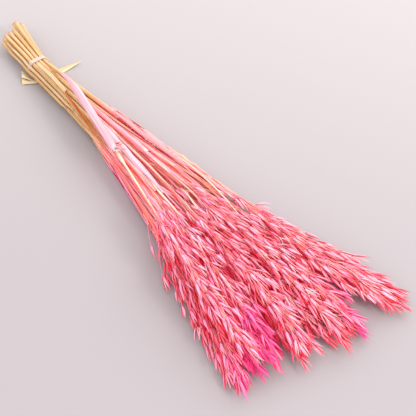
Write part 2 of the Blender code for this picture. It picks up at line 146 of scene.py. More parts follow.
class Stalk:
    # one oat stalk: where it lies, and what grows on it; x is the distance from the band
    def __init__(self, number, row, column, draw):
        inRow = rows[row]
        across = column - (inRow["count"] - 1) / 2
        share = column / max(inRow["count"] - 1, 1)
        self.number = number
        self.row = row
        self.y = (across + inRow["middle"]) * pitch
        self.z = band["thickness"] + band["clearance"] + straws["radius"] + inRow["level"] * rowPitch
        angle = mix(inRow["fan"], share) + (0 if share in (0, 1) else draw.uniform(*fan["stray"]))
        self.angle = angle
        self.slope = math.tan(math.radians(angle))
        self.rise = fan["floor"] + row * fan["row"] - self.z
        self.tail = draw.uniform(*tail["length"]) + tail["slant"] * self.y
        self.kick = draw.uniform(*tail["kick"])
        shorter = draw.random()**2 * fan["step"] * (1 + fan["rowStep"] * row)
        self.reach = fan["longest"] - shorter - fan["leftShorter"] * max(0, -angle)
        late = fan["edgeDelay"][angle > 0] * max(0, abs(angle) - fan["edgeAngle"])
        self.head = self.reach * (draw.uniform(*fan["head"]) + late)
        self.start = fan["start"]
        self.bend = mix(fan["bend"], (angle / fan["widest"] + 1) / 2)
        self.risen = fan["risen"]
        self.stations = fan["stations"]
        self.crosses = row == len(rows) - 1
        if self.crosses:
            self.start, self.bend, self.risen, self.stations = crossing.values()
        self.bow = draw.uniform(*fan["sway"]) * mm + fan["bow"] * (angle / fan["widest"])**3
        self.hook = draw.uniform(*fan["hook"]) * mm
        self.droop = min(self.z + self.rise - fan["floor"], draw.uniform(*fan["droop"]) * mm)
        self.radius = draw.uniform(*thick["sheath"])
        self.collar = draw.uniform(thick["collarFrom"], self.head - thick["bare"])
        self.endSpikelet = draw.uniform(*heads["length"])
        self.chain = self.culm()
        self.branches = []
        self.spikelets = []

    def centre(self, x):
        if x < 0:
            out = tail["spread"] * (math.hypot(x, tail["bend"]) - tail["bend"])
            drift = (tail["drift"] * x + self.kick * x * x) * smooth(-x / tail["bend"])
            return Vector((x, self.y * (1 + out) + drift, self.z * (1 + tail["lift"] * out * self.row)))
        way = self.slope * (self.turned(x) - self.turned(0))
        end = max(0.0, (x - self.head) / (self.reach - self.head))
        y = self.y + way + self.bow * math.sin(math.pi * min(1, x / self.reach)) + self.hook * end**3
        z = self.z + self.rise * smooth(x / self.risen) - self.droop * end**2
        return Vector((x, y, z))

    def turned(self, x):
        return (math.hypot(x - self.start, self.bend) + x - self.start) / 2

    def direction(self, x):
        return (self.centre(x + mm) - self.centre(x - mm)).normalized()

    def thickness(self, x):
        if x <= self.collar:
            return self.radius * mix((1, thick["flare"]), smooth(x / self.collar))
        if x < self.head:
            return mix((thick["neck"], thick["head"]), (x - self.collar) / (self.head - self.collar))
        return mix((thick["head"], thick["tip"]), (x - self.head) / (self.reach - self.head))

    def at(self, share):
        return self.head + (self.reach - self.endSpikelet - self.head) * share

    def culm(self):
        places = [-self.tail, self.collar, self.collar + thick["collar"], self.at(1)]
        places += [x for x in self.stations if x < self.head - thick["bare"]]
        places += [self.at(share) for share in fan["headStations"]]
        chain = [(self.centre(x), self.thickness(x)) for x in sorted(places)]
        widest = self.centre(self.at(1) + self.endSpikelet * heads["widest"])
        return chain + [(widest, heads["endRadius"]), (self.centre(self.reach), 0)]

    def root(self, x):
        for (a, _), (b, _) in zip(self.chain, self.chain[1:]):
            if x <= b.x:
                break
        return a.lerp(b, (x - a.x) / (b.x - a.x))


def sideOf(direction, turn):
    level = direction.cross(Vector((0, 0, 1))).normalized()
    side = level * math.cos(turn) + level.cross(direction) * math.sin(turn)
    side.z *= heads["levelled"]
    return side


def layStalks(rods):
    # each stalk is drawn anew until it has room, and the roomiest is kept
    stalks = []
    for row, inRow in enumerate(rows):
        for column in range(inRow["count"]):
            number = len(stalks)
            best = (-math.inf, None)
            for attempt in range(room["stalkTries"]):
                stalk = Stalk(number, row, column, random.Random(f"{seed}-{number}-{attempt}"))
                gap = rods.room(stalk.chain, np.ones(rods.count, bool))
                if gap > best[0]:
                    best = (gap, stalk)
                if gap > room["stalks"] / 2:
                    break
            rods.add(number, best[1].chain)
            stalks.append(best[1])
    return stalks


def isClear(rods, stalk, rod, parent, start):
    # clear of the surface, of other stalks and, past start, of its own but for the rod it grows on
    if min(p.z - r for p, r in rod) < room["floor"]:
        return False
    others = rods.stalk[: rods.count] != stalk.number
    if rods.room(rod, others) < room["stalks"]:
        return False
    own = ~others & (rods.rod[: rods.count] != parent)
    return rods.room(rod, own, start=start) >= room["own"]


def growSpikelet(rods, stalk, root, axis, parent, turn, draw):
    for attempt in range(room["tries"]):
        side = sideOf(axis, turn + draw.uniform(*heads["stray"]) * (1 + attempt))
        lean = math.tan(math.radians(draw.uniform(*heads["angle"])))
        direction = (axis + side * lean).normalized()
        length = draw.uniform(*heads["length"])
        widest = root + direction * length * heads["widest"]
        rod = [(root, heads["foot"]), (widest, heads["width"] / 2), (root + direction * length, 0)]
        if isClear(rods, stalk, rod, parent, heads["spikeletFree"]):
            rods.add(stalk.number, rod)
            stalk.spikelets.append((root, direction, length, side))
            return


def growBranch(rods, stalk, parent, x, share, turn, draw):
    start = stalk.root(x)
    axis = stalk.direction(x)
    bare = mix(heads["branchLength"], share)
    for attempt in range(room["tries"]):
        side = sideOf(axis, turn + draw.uniform(*heads["stray"]) * (1 + 0.5 * attempt))
        out = math.tan(math.radians(draw.uniform(*heads["branchAngle"])))
        length = draw.uniform(*heads["length"])
        middle = start + (axis + side * out).normalized() * bare / 2
        later = (stalk.direction(x + bare * 0.7) + side * out * 0.4).normalized()
        end = middle + later * bare / 2
        widest = end + later * length * heads["widest"]
        thin, thinner = heads["branchRadius"]
        rod = [(start, thin), (middle, thin), (end, thinner),
               (widest, heads["endRadius"]), (end + later * length, 0)]
        if isClear(rods, stalk, rod, parent, heads["branchFree"]):
            break
    else:
        return
    stalk.branches.append((rod, side, length))
    branch = rods.add(stalk.number, rod)
    for place in heads["onBranch"]:
        turn += math.pi
        root = start.lerp(middle, place * 2) if place < 0.5 else middle.lerp(end, place * 2 - 1)
        growSpikelet(rods, stalk, root, later, branch, turn, draw)


def growHead(rods, stalk):
    draw = random.Random(f"{seed}-head-{stalk.number}")
    turn = draw.uniform(0, 2 * math.pi)
    for n in range(heads["places"]):
        share = n / heads["places"]
        turn += math.radians(heads["turn"])
        x = stalk.at(share)
        if n % heads["branchEvery"] == 0:
            growBranch(rods, stalk, stalk.number, x, share, turn, draw)
        else:
            growSpikelet(rods, stalk, stalk.root(x), stalk.direction(x), stalk.number, turn, draw)


def bandOutline(stalks, clearance):
    outline = []
    for k in range(band["steps"]):
        turn = 2 * math.pi * (k + 0.5) / band["steps"]
        way = Vector((0, math.cos(turn), math.sin(turn)))
        outer = max((stalk.centre(0) for stalk in stalks), key=way.dot)
        outline.append(outer + way * (straws["radius"] + clearance) / math.cos(math.pi / band["steps"]))
    return outline


rods = Rods()
stalks = layStalks(rods)
for stalk in stalks:
    growHead(rods, stalk)

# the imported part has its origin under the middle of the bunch, and the band's box shows where that is
bandLow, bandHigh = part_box("tie_band")
drawn = bandOutline(stalks, band["clearance"])
drawnMiddle = (min(p.y for p in drawn) + max(p.y for p in drawn)) / 2
drawnLow = min(p.z for p in drawn) - band["thickness"]
origin = Vector(((bandLow[0] + bandHigh[0]) / 2, (bandLow[1] + bandHigh[1]) / 2 - drawnMiddle,
                 bandLow[2] - drawnLow))
print("stalks laid", len(stalks), "origin", [round(v, 5) for v in origin])


def put(name, data):
    made = bpy.data.objects.new(name, data)
    bpy.context.scene.collection.objects.link(made)
    return made


class Shell:
    # closed tubes and sheets, each a stack of rings, gathered into one mesh
    def __init__(self):
        self.points, self.grain, self.tone, self.dyeAndShade = [], [], [], []
        self.corners, self.sizes, self.slots = [], [], []
        self.count = 0

    # rings are (pieces, rings, steps round, 3), and the rest spreads to that shape: grain is the piece
    # laid out straight, tone and dye are numbers that the materials read, and the first dye number is painted
    # shade
    def add(self, rings, grain, tone, dyeAndShade, slot, ends=None, closed=False):
        n, r, s = rings.shape[:3]
        for store, values, caps in ((self.points, rings, ends), (self.grain, grain, None),
                                    (self.tone, tone, None), (self.dyeAndShade, dyeAndShade, None)):
            values = np.broadcast_to(values, (n, r, s, 3))
            parts = [values.reshape(n, r * s, 3)]
            if not closed:
                parts.append(values.mean(axis=2)[:, [0, -1]] if caps is None else caps)
            store.append(np.concatenate(parts, axis=1).reshape(-1, 3))
        ring, step = np.meshgrid(np.arange(r if closed else r - 1), np.arange(s), indexing="ij")
        here = ring * s + step
        beside = ring * s + (step + 1) % s
        quads = np.stack([here, beside, (beside + s) % (r * s), (here + s) % (r * s)], axis=2)
        each = r * s + (0 if closed else 2)
        offset = self.count + each * np.arange(n)
        self.addFaces(quads.reshape(-1, 4), offset, slot)
        if not closed:
            around = np.arange(s)
            after = (around + 1) % s
            first = np.stack([after, around, np.full(s, r * s)], axis=1)
            last = np.stack([around + (r - 1) * s, after + (r - 1) * s, np.full(s, r * s + 1)], axis=1)
            self.addFaces(np.concatenate([first, last]), offset, slot)
        self.count += n * each

    def addFaces(self, faces, offset, slot):
        self.corners.append((faces[None] + offset[:, None, None]).reshape(-1))
        self.sizes.append(np.full(len(offset) * len(faces), faces.shape[1]))
        self.slots.append(np.full(len(offset) * len(faces), slot))

    # whatever comes near the floor levels off just above it
    def build(self, name, finishes, lowest=0.3 * mm, soft=1.2 * mm):
        points = np.concatenate(self.points) + np.array(origin)
        if lowest:
            height = points[:, 2]
            near = height < lowest + soft
            height[near] = lowest + soft * np.exp((height[near] - lowest - soft) / soft)
        mesh = bpy.data.meshes.new(name)
        corners = np.concatenate(self.corners)
        sizes = np.concatenate(self.sizes)
        mesh.vertices.add(len(points))
        mesh.vertices.foreach_set("co", points.astype(np.float32).ravel())
        mesh.loops.add(len(corners))
        mesh.loops.foreach_set("vertex_index", corners.astype(np.int32))
        mesh.polygons.add(len(sizes))
        mesh.polygons.foreach_set("loop_start", (np.cumsum(sizes) - sizes).astype(np.int32))
        mesh.polygons.foreach_set("material_index", np.concatenate(self.slots).astype(np.int32))
        for finish in finishes:
            mesh.materials.append(finish)
        for label, store in (("grain", self.grain), ("tone", self.tone), ("dyeAndShade", self.dyeAndShade)):
            held = mesh.attributes.new(label, "FLOAT_VECTOR", "POINT")
            held.data.foreach_set("vector", np.concatenate(store).astype(np.float32).ravel())
        mesh.update(calc_edges=True)
        mesh.shade_smooth()
        return put(name, mesh)


def unit(vectors):
    return vectors / np.linalg.norm(vectors, axis=-1, keepdims=True)


def soften(values):
    values = np.clip(values, 0, 1)
    return values * values * (3 - 2 * values)


def stack(shape, *parts):
    # three numbers a point, each spread to the shape
    return np.stack([np.broadcast_to(part, shape) for part in parts], axis=-1)


def framesAlong(path):
    # direction, level side and lower side at each point of paths (n, r, 3)
    way = unit(np.gradient(path, axis=1))
    level = unit(np.cross(way, np.array([0.0, 0.0, 1.0]) + 1e-6))
    return way, level, np.cross(way, level)


def frameOf(path):
    # the same for one path (r, 3)
    return (v[0] for v in framesAlong(path[None]))


def ringsRound(path, level, lower, across, up):
    # points round each point of a path
    return (path[..., None, :] + across[..., None] * level[..., None, :]
            + up[..., None] * lower[..., None, :])


def swung(first, second, angle):
    # first, turned towards second
    return first * np.cos(angle)[:, None] + second * np.sin(angle)[:, None]


def lengthAlong(path):
    step = np.linalg.norm(np.diff(path, axis=1), axis=2)
    return np.concatenate([np.zeros((len(path), 1)), step.cumsum(axis=1)], axis=1)


# tubes along paths (n, r, 3) with radius (n, r); chance is (n,) and dye (n, 3), whose first number is painted
# shade
def addTube(shell, path, radius, sides, chance, dyeAndShade, slot, flat=1.0):
    n, r = path.shape[:2]
    shape = (n, r, sides)
    way, level, lower = framesAlong(path)
    angle = 2 * np.pi * np.arange(sides) / sides
    across, up = radius[..., None] * np.cos(angle), radius[..., None] * flat * np.sin(angle)
    rings = ringsRound(path, level, lower, across, up)
    ends = path[:, [0, -1]] + way[:, [0, -1]] * radius[:, [0, -1], None] * np.array([[-0.2], [0.5]])
    along = lengthAlong(path)
    grain = stack(shape, across, up, along[..., None]) + chance[:, None, None, None] * 3.7
    tone = stack(shape, chance[:, None, None], (along / along[:, -1:])[..., None], 0.0)
    shell.add(rings, grain, tone, dyeAndShade[:, None, None], slot, ends)


# thin arched sheets between two edge lines (n, r, 3), the arch towards normal
def addSheet(shell, first, second, normal, crown, wall, chance, dyeAndShade, slot, across=5, ends=None):
    n, r = first.shape[:2]
    t = np.linspace(0, 1, across)
    way = np.concatenate([t, t[-2:0:-1]])
    back = np.concatenate([np.zeros(across), np.ones(across - 2)])
    arch = 4 * way * (1 - way)
    lift = (crown[..., None] - wall[..., None] * back) * arch
    rings = first[:, :, None] + (second - first)[:, :, None] * way[:, None]
    rings = rings + normal[:, :, None] * lift[..., None]
    wide = np.linalg.norm(second - first, axis=2)
    along = lengthAlong((first + second) / 2)
    shape = (n, r, len(way))
    grain = stack(shape, wide[..., None] * (way - 0.5), back * mm, along[..., None])
    # the back layer is marked 2 for painted shade, and the edges for paler margins
    tone = stack(shape, chance[:, None, None], (along / along[:, -1:])[..., None],
                 np.where(back > 0, 2.0, abs(2 * way - 1)**3))
    shell.add(rings, grain + chance[:, None, None, None] * 3.7, tone, dyeAndShade[:, None, None], slot, ends)


# a leaf blade between two edge lines (r, 3)
def addBlade(shell, first, second, normal, crown, wall, chance, dyeAndShade, slot=0, across=5):
    addSheet(shell, first[None], second[None], normal[None], crown[None], np.full((1, len(first)), wall),
             np.array([chance]), dyeAndShade[None], slot, across)


# the husks: pairs of slim boat-shaped blades with a kernel between them; warmOver is the width over
# which their colour grows warmer, from left to right
husk = {"rings": 7, "span": (0.012, 0.985), "width": 3.6 * mm, "wider": (0.8, 1.15), "depth": 0.5,
        "wall": 0.42, "open": (4.0, 20.0), "bend": (-0.07, 0.05), "sideways": 0.07,
        "pedicel": (1.5 * mm, 4.5 * mm), "longer": 0.97, "second": 0.9, "warmOver": 0.16}


def addHusks(shell, foot, way, out, length, width, opened, bend, aside, chance, dyeAndShade, slot):
    v = np.linspace(*husk["span"], husk["rings"])
    across = unit(np.cross(way, out))
    half = width[:, None] / 2 * np.sin(np.pi * v**0.6)**1.05
    lift = length[:, None] * (np.tan(opened)[:, None] * v + bend[:, None] * v * v)
    drift = length[:, None] * aside[:, None] * v * v
    spine = (foot[:, None] + way[:, None] * (length[:, None] * v)[..., None]
             + out[:, None] * lift[..., None] + across[:, None] * drift[..., None])
    side = across[:, None] * half[..., None]
    tip = (way + out * (np.tan(opened) + bend)[:, None] + across * aside[:, None]) * length[:, None]
    crown = half * 2 * husk["depth"]
    normal = np.broadcast_to(out[:, None], spine.shape)
    addSheet(shell, spine - side, spine + side, normal, crown, crown * husk["wall"], chance, dyeAndShade, slot,
             ends=np.stack([foot, foot + tip], axis=1))


# one torn lobe of a sheath, shaped as a husk
def addLobe(shell, foot, way, out, length, width, opened, bend, aside, chance, dyeAndShade, slot):
    sizes = (np.array([v]) for v in (length * mm, width * mm, opened, bend, aside, chance))
    addHusks(shell, foot[None], way[None], out[None], *sizes, dyeAndShade[None], slot)


# what the spikelets of one head need, gathered before they are made together
def spikeletsOf(stalk):
    draw = random.Random(f"{seed}-fine-{stalk.number}")
    found = [(root, way, length, side, draw.random()) for root, way, length, side in stalk.spikelets]
    for rod, side, length in stalk.branches:
        base = rod[2][0]
        found.append((base, (rod[4][0] - base).normalized(), length, side, draw.random()))
    base = stalk.centre(stalk.at(1))
    way = (stalk.centre(stalk.reach) - base).normalized()
    found.append((base, way, stalk.endSpikelet, sideOf(way, draw.uniform(0, 6)), draw.random()))
    return found


# overlap is the worst gap that is taken, and roomy the gap that is good enough at once
extra = {"count": 52, "lower": 6, "lowerRows": 3, "stem": (5 * mm, 38 * mm), "angle": (5.0, 25.0),
         "length": (20 * mm, 27 * mm), "overlap": -1.9 * mm, "roomy": -0.5 * mm, "tries": 6,
         "share": (-0.12, 0.97), "bareRight": 0.34, "bareAngle": 12, "radius": 2.0 * mm,
         "floor": 1.0 * mm, "step": 4 * mm}


# more spikelets on thin stems of their own, put in where there is a little room
def growExtras(stalk, rods):
    draw = random.Random(f"{seed}-extra-{stalk.number}")
    stems, found = [], []
    turn = draw.uniform(0, 6.28)
    count = extra["count"] + extra["lower"] * max(0, extra["lowerRows"] - stalk.row)
    for n in range(count):
        # the heads at the right leave more of their stems bare
        low = extra["share"][0] + extra["bareRight"] * smooth(stalk.angle / extra["bareAngle"])
        share = mix((low, extra["share"][1]), (n + draw.random()) / count)
        x = stalk.at(share)
        start, axis = stalk.centre(x), stalk.direction(x)
        best = (-math.inf, None)
        for attempt in range(extra["tries"]):
            turn += math.radians(heads["turn"])
            side = sideOf(axis, turn)
            out = math.tan(math.radians(draw.uniform(*extra["angle"])))
            bare = draw.uniform(*extra["stem"]) * (1.2 - 0.8 * share)
            length = draw.uniform(*extra["length"])
            middle = start + (axis + side * out * 1.3).normalized() * bare * 0.55
            later = (stalk.direction(min(x + bare, stalk.reach)) + side * out * 0.6).normalized()
            end = middle + (later + side * out * 0.3).normalized() * bare * 0.45
            tip = end + later * length
            rod = [(end, 0.5 * mm), (end.lerp(tip, 0.35), extra["radius"]), (tip, 0)]
            if min(p.z - r for p, r in rod) < extra["floor"] or tip.x > stalk.reach + 1 * mm:
                continue
            gap = rods.room(rod, np.ones(rods.count, bool), step=extra["step"])
            if gap > best[0]:
                best = (gap, (start, middle, end), (end, later, length, side), rod)
            if gap > extra["roomy"]:
                break
        if best[0] > extra["overlap"]:
            rods.add(stalk.number, best[3])
            stems.append(best[1])
            found.append((*best[2], draw.random()))
    return stems, found


# the hot pink dye: which stalks took it and how much, and from what share of their length
hot = {"stalks": {4: 1.0, 5: 1.0, 7: 0.9, 8: 0.6, 9: 0.6, 10: 0.5, 13: 0.6, 15: 1.0, 18: 0.5, 20: 0.9},
       "from": (0.84, 0.96)}
# how near a spikelet has to be to lie over another, and how many over it give the full painted shade
over = {"along": 14 * mm, "aside": 4.5 * mm, "above": 1.8 * mm, "many": 5}


def hotness(stalk, points):
    low, high = hot["from"]
    return hot["stalks"].get(stalk.number, 0.0) * soften((points[:, 0] / stalk.reach - low) / (high - low))


def paintedShadeUnder(points, others):
    # how many of the others lie over each point, from 0 for none to 1 for many, used as painted shade
    x, y, z = np.moveaxis(others[None] - points[:, None], 2, 0)
    found = (abs(x) < over["along"]) & (abs(y) < over["aside"]) & (z > over["above"])
    return np.clip(found.sum(axis=1) / over["many"], 0, 1)


kernel = {"at": (0.04, 0.22, 0.5, 0.78, 0.96), "radius": (0.35, 0.85, 1.0, 0.55, 0.1),
          "stalkAt": (-0.3, 0.35, 0.8, 1.1), "stalkRadius": (0.34, 0.26, 0.3, 0.5)}


# the husks, kernels and little stalks of all spikelets of one head
def addSpikelets(shell, found, stalk, middles):
    draw = np.random.default_rng(seed * 100 + stalk.number)
    base, way, side = (np.array([f[k] for f in found]) for k in (0, 1, 3))
    length = np.array([f[2] for f in found]) * husk["longer"]
    chance = np.array([f[4] for f in found])
    n = len(found)
    pedicel = draw.uniform(*husk["pedicel"], n)
    foot = base + way * pedicel[:, None]
    body = length - pedicel
    middle = base + way * length[:, None] / 2
    # painted shade: spikelets with others lying over them are darker
    paintedShade = paintedShadeUnder(middle, middles)
    hotter = np.clip(hotness(stalk, middle) * (0.75 + 0.7 * chance), 0, 1)
    warm = np.clip(0.5 + base[:, 1] / husk["warmOver"] + draw.uniform(-0.5, 0.5, n), 0, 1)
    dyeAndShade = np.stack([paintedShade, warm, hotter], axis=1)
    # the two husks part in a plane turned at random round the spikelet
    level = unit(side - way * (side * way).sum(1, keepdims=True))
    out = swung(level, np.cross(way, level), draw.uniform(0, 2 * np.pi, n))
    for sign, shorter in ((1, 1.0), (-1, husk["second"])):
        opened = np.radians(draw.uniform(*husk["open"], n))
        bend = draw.uniform(*husk["bend"], n)
        aside = draw.uniform(-1, 1, n) * husk["sideways"]
        wide = draw.uniform(*husk["wider"], n) * husk["width"]
        addHusks(shell, foot, way, out * sign, body * shorter, wide, opened, bend, aside,
                 np.clip(chance + draw.uniform(-0.15, 0.15, n), 0, 1), dyeAndShade, 1)
    path = foot[:, None] + way[:, None] * (body[:, None] * np.array(kernel["at"]))[..., None]
    radius = np.array(kernel["radius"]) * mm * draw.uniform(*husk["wider"], (n, 1))
    addTube(shell, path, radius, 4, chance, dyeAndShade, 2, flat=0.7)
    path = np.stack([base + (foot - base) * t for t in kernel["stalkAt"]], axis=1)
    addTube(shell, path, np.array(kernel["stalkRadius"]) * mm * np.ones((n, 1)), 3, chance, dyeAndShade, 2)


# thin curved stems through (start, middle, end)
def addStems(shell, stems, thickness, dyeAndShade):
    if not stems:
        return
    start, middle, end = (np.array([stem[k] for stem in stems])[:, None] for k in range(3))
    t = np.linspace(0, 1, 5)[None, :, None]
    bow = middle * 2 - (start + end) / 2
    path = start * (1 - t)**2 + bow * 2 * t * (1 - t) + end * t**2
    radius = np.linspace(*thickness, 5)[None] * np.ones((len(stems), 1))
    addTube(shell, path, radius, 4, np.linspace(0, 1, len(stems)), np.tile(dyeAndShade, (len(stems), 1)), 2)


def pathOf(stalk, xs):
    return np.array([stalk.centre(x) for x in xs])


# count points on the line through knots, which are in metres along and mm across
def through(knots, count):
    x, y, z = np.array(knots).T
    xs = np.linspace(x[0], x[-1], count)
    return np.stack([xs, np.interp(xs, x, y * mm), np.interp(xs, x, z * mm)], axis=1)


# a straw that is hollow at one end, where two narrower rings lie inside the rim: hollow says how many
# of those come before and after the others
def addStraw(shell, path, radius, hollow, angle, uneven, flat, along, chance, offset, dyeAndShade, shift=0.0):
    way, level, lower = frameOf(path[hollow[0]:len(path) - hollow[1]])
    level, lower = (np.pad(v, (hollow, (0, 0)), "edge") for v in (level, lower))
    across = radius[:, None] * np.cos(angle) * uneven
    up = radius[:, None] * np.sin(angle) * uneven * flat
    # the rings inside the hollow end are marked 2 for painted shade
    inside = np.pad(np.zeros(len(path) - 2), hollow, constant_values=2.0)[:, None]
    shape = (1, *across.shape)
    rings = ringsRound(path, level, lower, across, up) + shift
    grain = stack(shape, across, up, along) + offset
    shell.add(rings[None], grain, stack(shape, chance, 0.5, inside), dyeAndShade, 0)


culm = {"step": 7 * mm, "sides": 12, "knot": 0.32 * mm, "knotLength": 3 * mm,
        "knots": ((-0.03, 0.05), (0.11, 0.16)), "slimmer": 0.30, "slimFrom": (0.03, 0.10),
        "flat": (0.86, 1.0), "inside": (4 * mm, 0.3 * mm), "narrow": (0.5, 0.62)}


# the straw itself, with its knots, from the cut end to where the last spikelet begins
def addCulm(shell, stalk, chance, dyeAndShade):
    draw = random.Random(f"{seed}-culm-{stalk.number}")
    end = stalk.at(1)
    xs = np.linspace(-stalk.tail, end, int((end + stalk.tail) / culm["step"]))
    radius = np.array([stalk.thickness(x) for x in xs])
    low, high = culm["slimFrom"]
    radius = radius * (1 - culm["slimmer"] * soften((xs - low) / (high - low)) * (xs < stalk.collar))
    for knot in [draw.uniform(*place) for place in culm["knots"]]:
        radius = radius + culm["knot"] * np.exp(-((xs - knot) / culm["knotLength"])**2)
    path = pathOf(stalk, xs)
    lip = unit(path[1] - path[0])
    path = np.concatenate([[path[0] + lip * deep for deep in culm["inside"]], path])
    radius = np.concatenate([radius[0] * np.array(culm["narrow"]), radius])
    angle = 2 * np.pi * np.arange(culm["sides"]) / culm["sides"] + draw.uniform(0, 6)
    flat = draw.uniform(*culm["flat"])
    uneven = 1 + 0.05 * np.sin(angle * 3 + draw.uniform(0, 6)) + 0.03 * np.sin(angle * 5)
    along = np.concatenate([[-0.01, -0.005], xs + stalk.tail])[:, None]
    addStraw(shell, path, radius, (2, 0), angle, uneven, flat, along, chance, chance * 3.7, dyeAndShade)


# a rolled sheath as two layers, joined round their edges; t runs across it and share along it
def addRolled(shell, layers, t, share, flat, along, chance, offset, dyeAndShade, slot):
    rings = np.concatenate([layers[0], layers[1][:, ::-1]], axis=1)[None]
    shape = rings.shape[:3]
    rim = np.broadcast_to(abs(2 * t - 1)**9 + share**14 * 0.8, layers[0].shape[:2])
    # the inner layer is marked 2 for painted shade
    tone = stack(shape, chance, share, np.concatenate([rim, np.full(rim.shape, 2.0)], axis=1))
    grain = stack(shape, np.concatenate([t, t[::-1]]) * flat, 0.0, along) + offset
    shell.add(rings, grain, tone, dyeAndShade, slot)


# closest is how near a sheath hugs the straw at its foot, and opens where its slit lies, in degrees
sheath = {"around": 9, "step": 6 * mm, "wall": 0.3 * mm, "lower": (0.006, 0.05), "lowerEnd": (0.8, 1.02),
          "wide": (1.04, 1.26), "high": (1.02, 1.14), "closest": 1.03, "rowWider": 0.04,
          "gape": (35, 110), "opens": (170, 400), "fray": 8 * mm, "upperStart": (0.35, 0.75),
          "upperEnd": (-0.012, 0.03), "upperWide": (2.4 * mm, 3.8 * mm), "upperHigh": (1.5 * mm, 2.1 * mm),
          "upperFray": 1.6}


# a leaf sheath rolled round the straw, a little loose, open along one side and frayed at its end;
# wide and high are its half width and half height at each ring
def addSheath(shell, stalk, xs, wide, high, opening, gape, fray, chance, dyeAndShade):
    t = np.linspace(0, 1, sheath["around"])
    share = ((xs - xs[0]) / (xs[-1] - xs[0]))[:, None]
    turn = opening + gape[:, None] / 2 + (2 * np.pi - gape[:, None]) * t
    path = pathOf(stalk, xs)
    way, level, lower = frameOf(path)
    layers = [ringsRound(path, level, lower, (wide - thin)[:, None] * np.cos(turn),
                         (high - thin)[:, None] * np.sin(turn)) + way[:, None] * (share**7 * fray)[..., None]
              for thin in (0.0, sheath["wall"])]
    addRolled(shell, layers, t, share, 2.4 * np.pi * wide.mean(), (xs - xs[0])[:, None], chance,
              chance * 3.7, dyeAndShade, 0)


def frayOf(draw, depth):
    return np.array([draw.uniform(-1, 0.15) for _ in range(sheath["around"])]) * depth


# the sheath round the lower straw, and the upper one that stands off the stem
def addSheaths(shell, stalk, chance, dyeAndShade):
    draw = random.Random(f"{seed}-sheath-{stalk.number}")
    first = draw.uniform(*sheath["lower"])
    last = stalk.collar * draw.uniform(*sheath["lowerEnd"])
    xs = np.linspace(first, last, int((last - first) / sheath["step"]))
    grow = soften((xs - first) / (last - first) * 1.6)
    body = np.array([stalk.thickness(min(x, stalk.collar)) for x in xs])
    wide = draw.uniform(*sheath["wide"]) + sheath["rowWider"] * stalk.row
    high = draw.uniform(*sheath["high"])
    gape = np.radians(draw.uniform(*sheath["gape"])) * (0.1 + 0.9 * grow)
    opening = math.radians(draw.uniform(*sheath["opens"]))
    wide, high = (body * mix((sheath["closest"], most), grow) for most in (wide, high))
    addSheath(shell, stalk, xs, wide, high, opening, gape, frayOf(draw, sheath["fray"]),
              chance * 0.8 + 0.1, dyeAndShade)
    first = mix((first, stalk.collar), draw.uniform(*sheath["upperStart"]))
    last = stalk.head + draw.uniform(*sheath["upperEnd"])
    xs = np.linspace(first, last, int((last - first) / sheath["step"]))
    share = (xs - first) / (last - first)
    taper = (0.55 + 0.45 * soften(share * 4)) * (1 - 0.42 * soften(share * 1.6 - 0.6))
    wide, high = (draw.uniform(*sheath[key]) * taper for key in ("upperWide", "upperHigh"))
    gape = np.radians(draw.uniform(*sheath["gape"])) * (0.2 + 0.8 * soften(share * 2))
    opening = math.radians(draw.uniform(*sheath["opens"]))
    addSheath(shell, stalk, xs, wide, high, opening, gape, frayOf(draw, sheath["fray"] * sheath["upperFray"]),
              (chance * 3.3) % 1, dyeAndShade)


# the width of a strip along it, as a share of its widest
def bellied(t, scale, start, power):
    return np.sin(np.pi * np.clip(t * scale + start, 0, 1))**power


ribbon = {"count": (2, 4), "from": (0.11, 0.27), "length": (0.05, 0.13), "pastHead": 0.03,
          "width": (4 * mm, 8.5 * mm), "off": 3.4 * mm, "wall": 0.35 * mm, "rings": 20}


# dry strips of leaf that lie along the stalks
def addRibbons(shell, stalk, dyeAndShade):
    draw = random.Random(f"{seed}-ribbon-{stalk.number}")
    t = np.linspace(0, 1, ribbon["rings"])
    for k in range(draw.randint(*ribbon["count"])):
        first = draw.uniform(*ribbon["from"])
        last = min(first + draw.uniform(*ribbon["length"]), stalk.head + ribbon["pastHead"])
        path = pathOf(stalk, mix((first, last), t))
        way, level, lower = frameOf(path)
        out = swung(level, lower, draw.uniform(0, 2 * math.pi) + t * draw.uniform(-1.6, 1.6))
        away = ribbon["off"] * (0.85 + 0.5 * t * draw.uniform(-0.3, 1))
        normal = swung(out, np.cross(way, out), draw.uniform(-0.5, 0.5) + t * draw.uniform(-1.2, 1.2))
        half = draw.uniform(*ribbon["width"]) / 2 * bellied(t, 0.86, 0.1, 0.6)
        side = np.cross(way, normal) * half[:, None]
        spine = path + out * away[:, None]
        crown = half * 0.5 * (1 + 0.5 * np.sin(t * draw.uniform(8, 20)))
        addBlade(shell, spine - side, spine + side, normal, crown, ribbon["wall"], draw.random(), dyeAndShade)


# the grain takes the sheath to be flat wide and length long; lobesOver is the stretch, up to lobesFrom,
# on which the lobes start, and lobe their lengths and widths in mm
torn = {"span": (0.050, 0.217), "width": 9.6 * mm, "height": 3.5 * mm, "arc": (-14.0, 196.0),
        "tear": (0.0, -5 * mm, -15 * mm, -7 * mm, -12 * mm), "ragged": 2.0 * mm, "wall": 0.35 * mm,
        "rings": 60, "around": 21, "pleat": 0.35 * mm, "flat": 16 * mm, "length": 0.155,
        "lobes": 12, "lobesFrom": 0.210, "lobesOver": 0.012, "lobe": ((8, 17), (1.6, 3.2)),
        "lobeRing": (4.2 * mm, 3 * mm)}


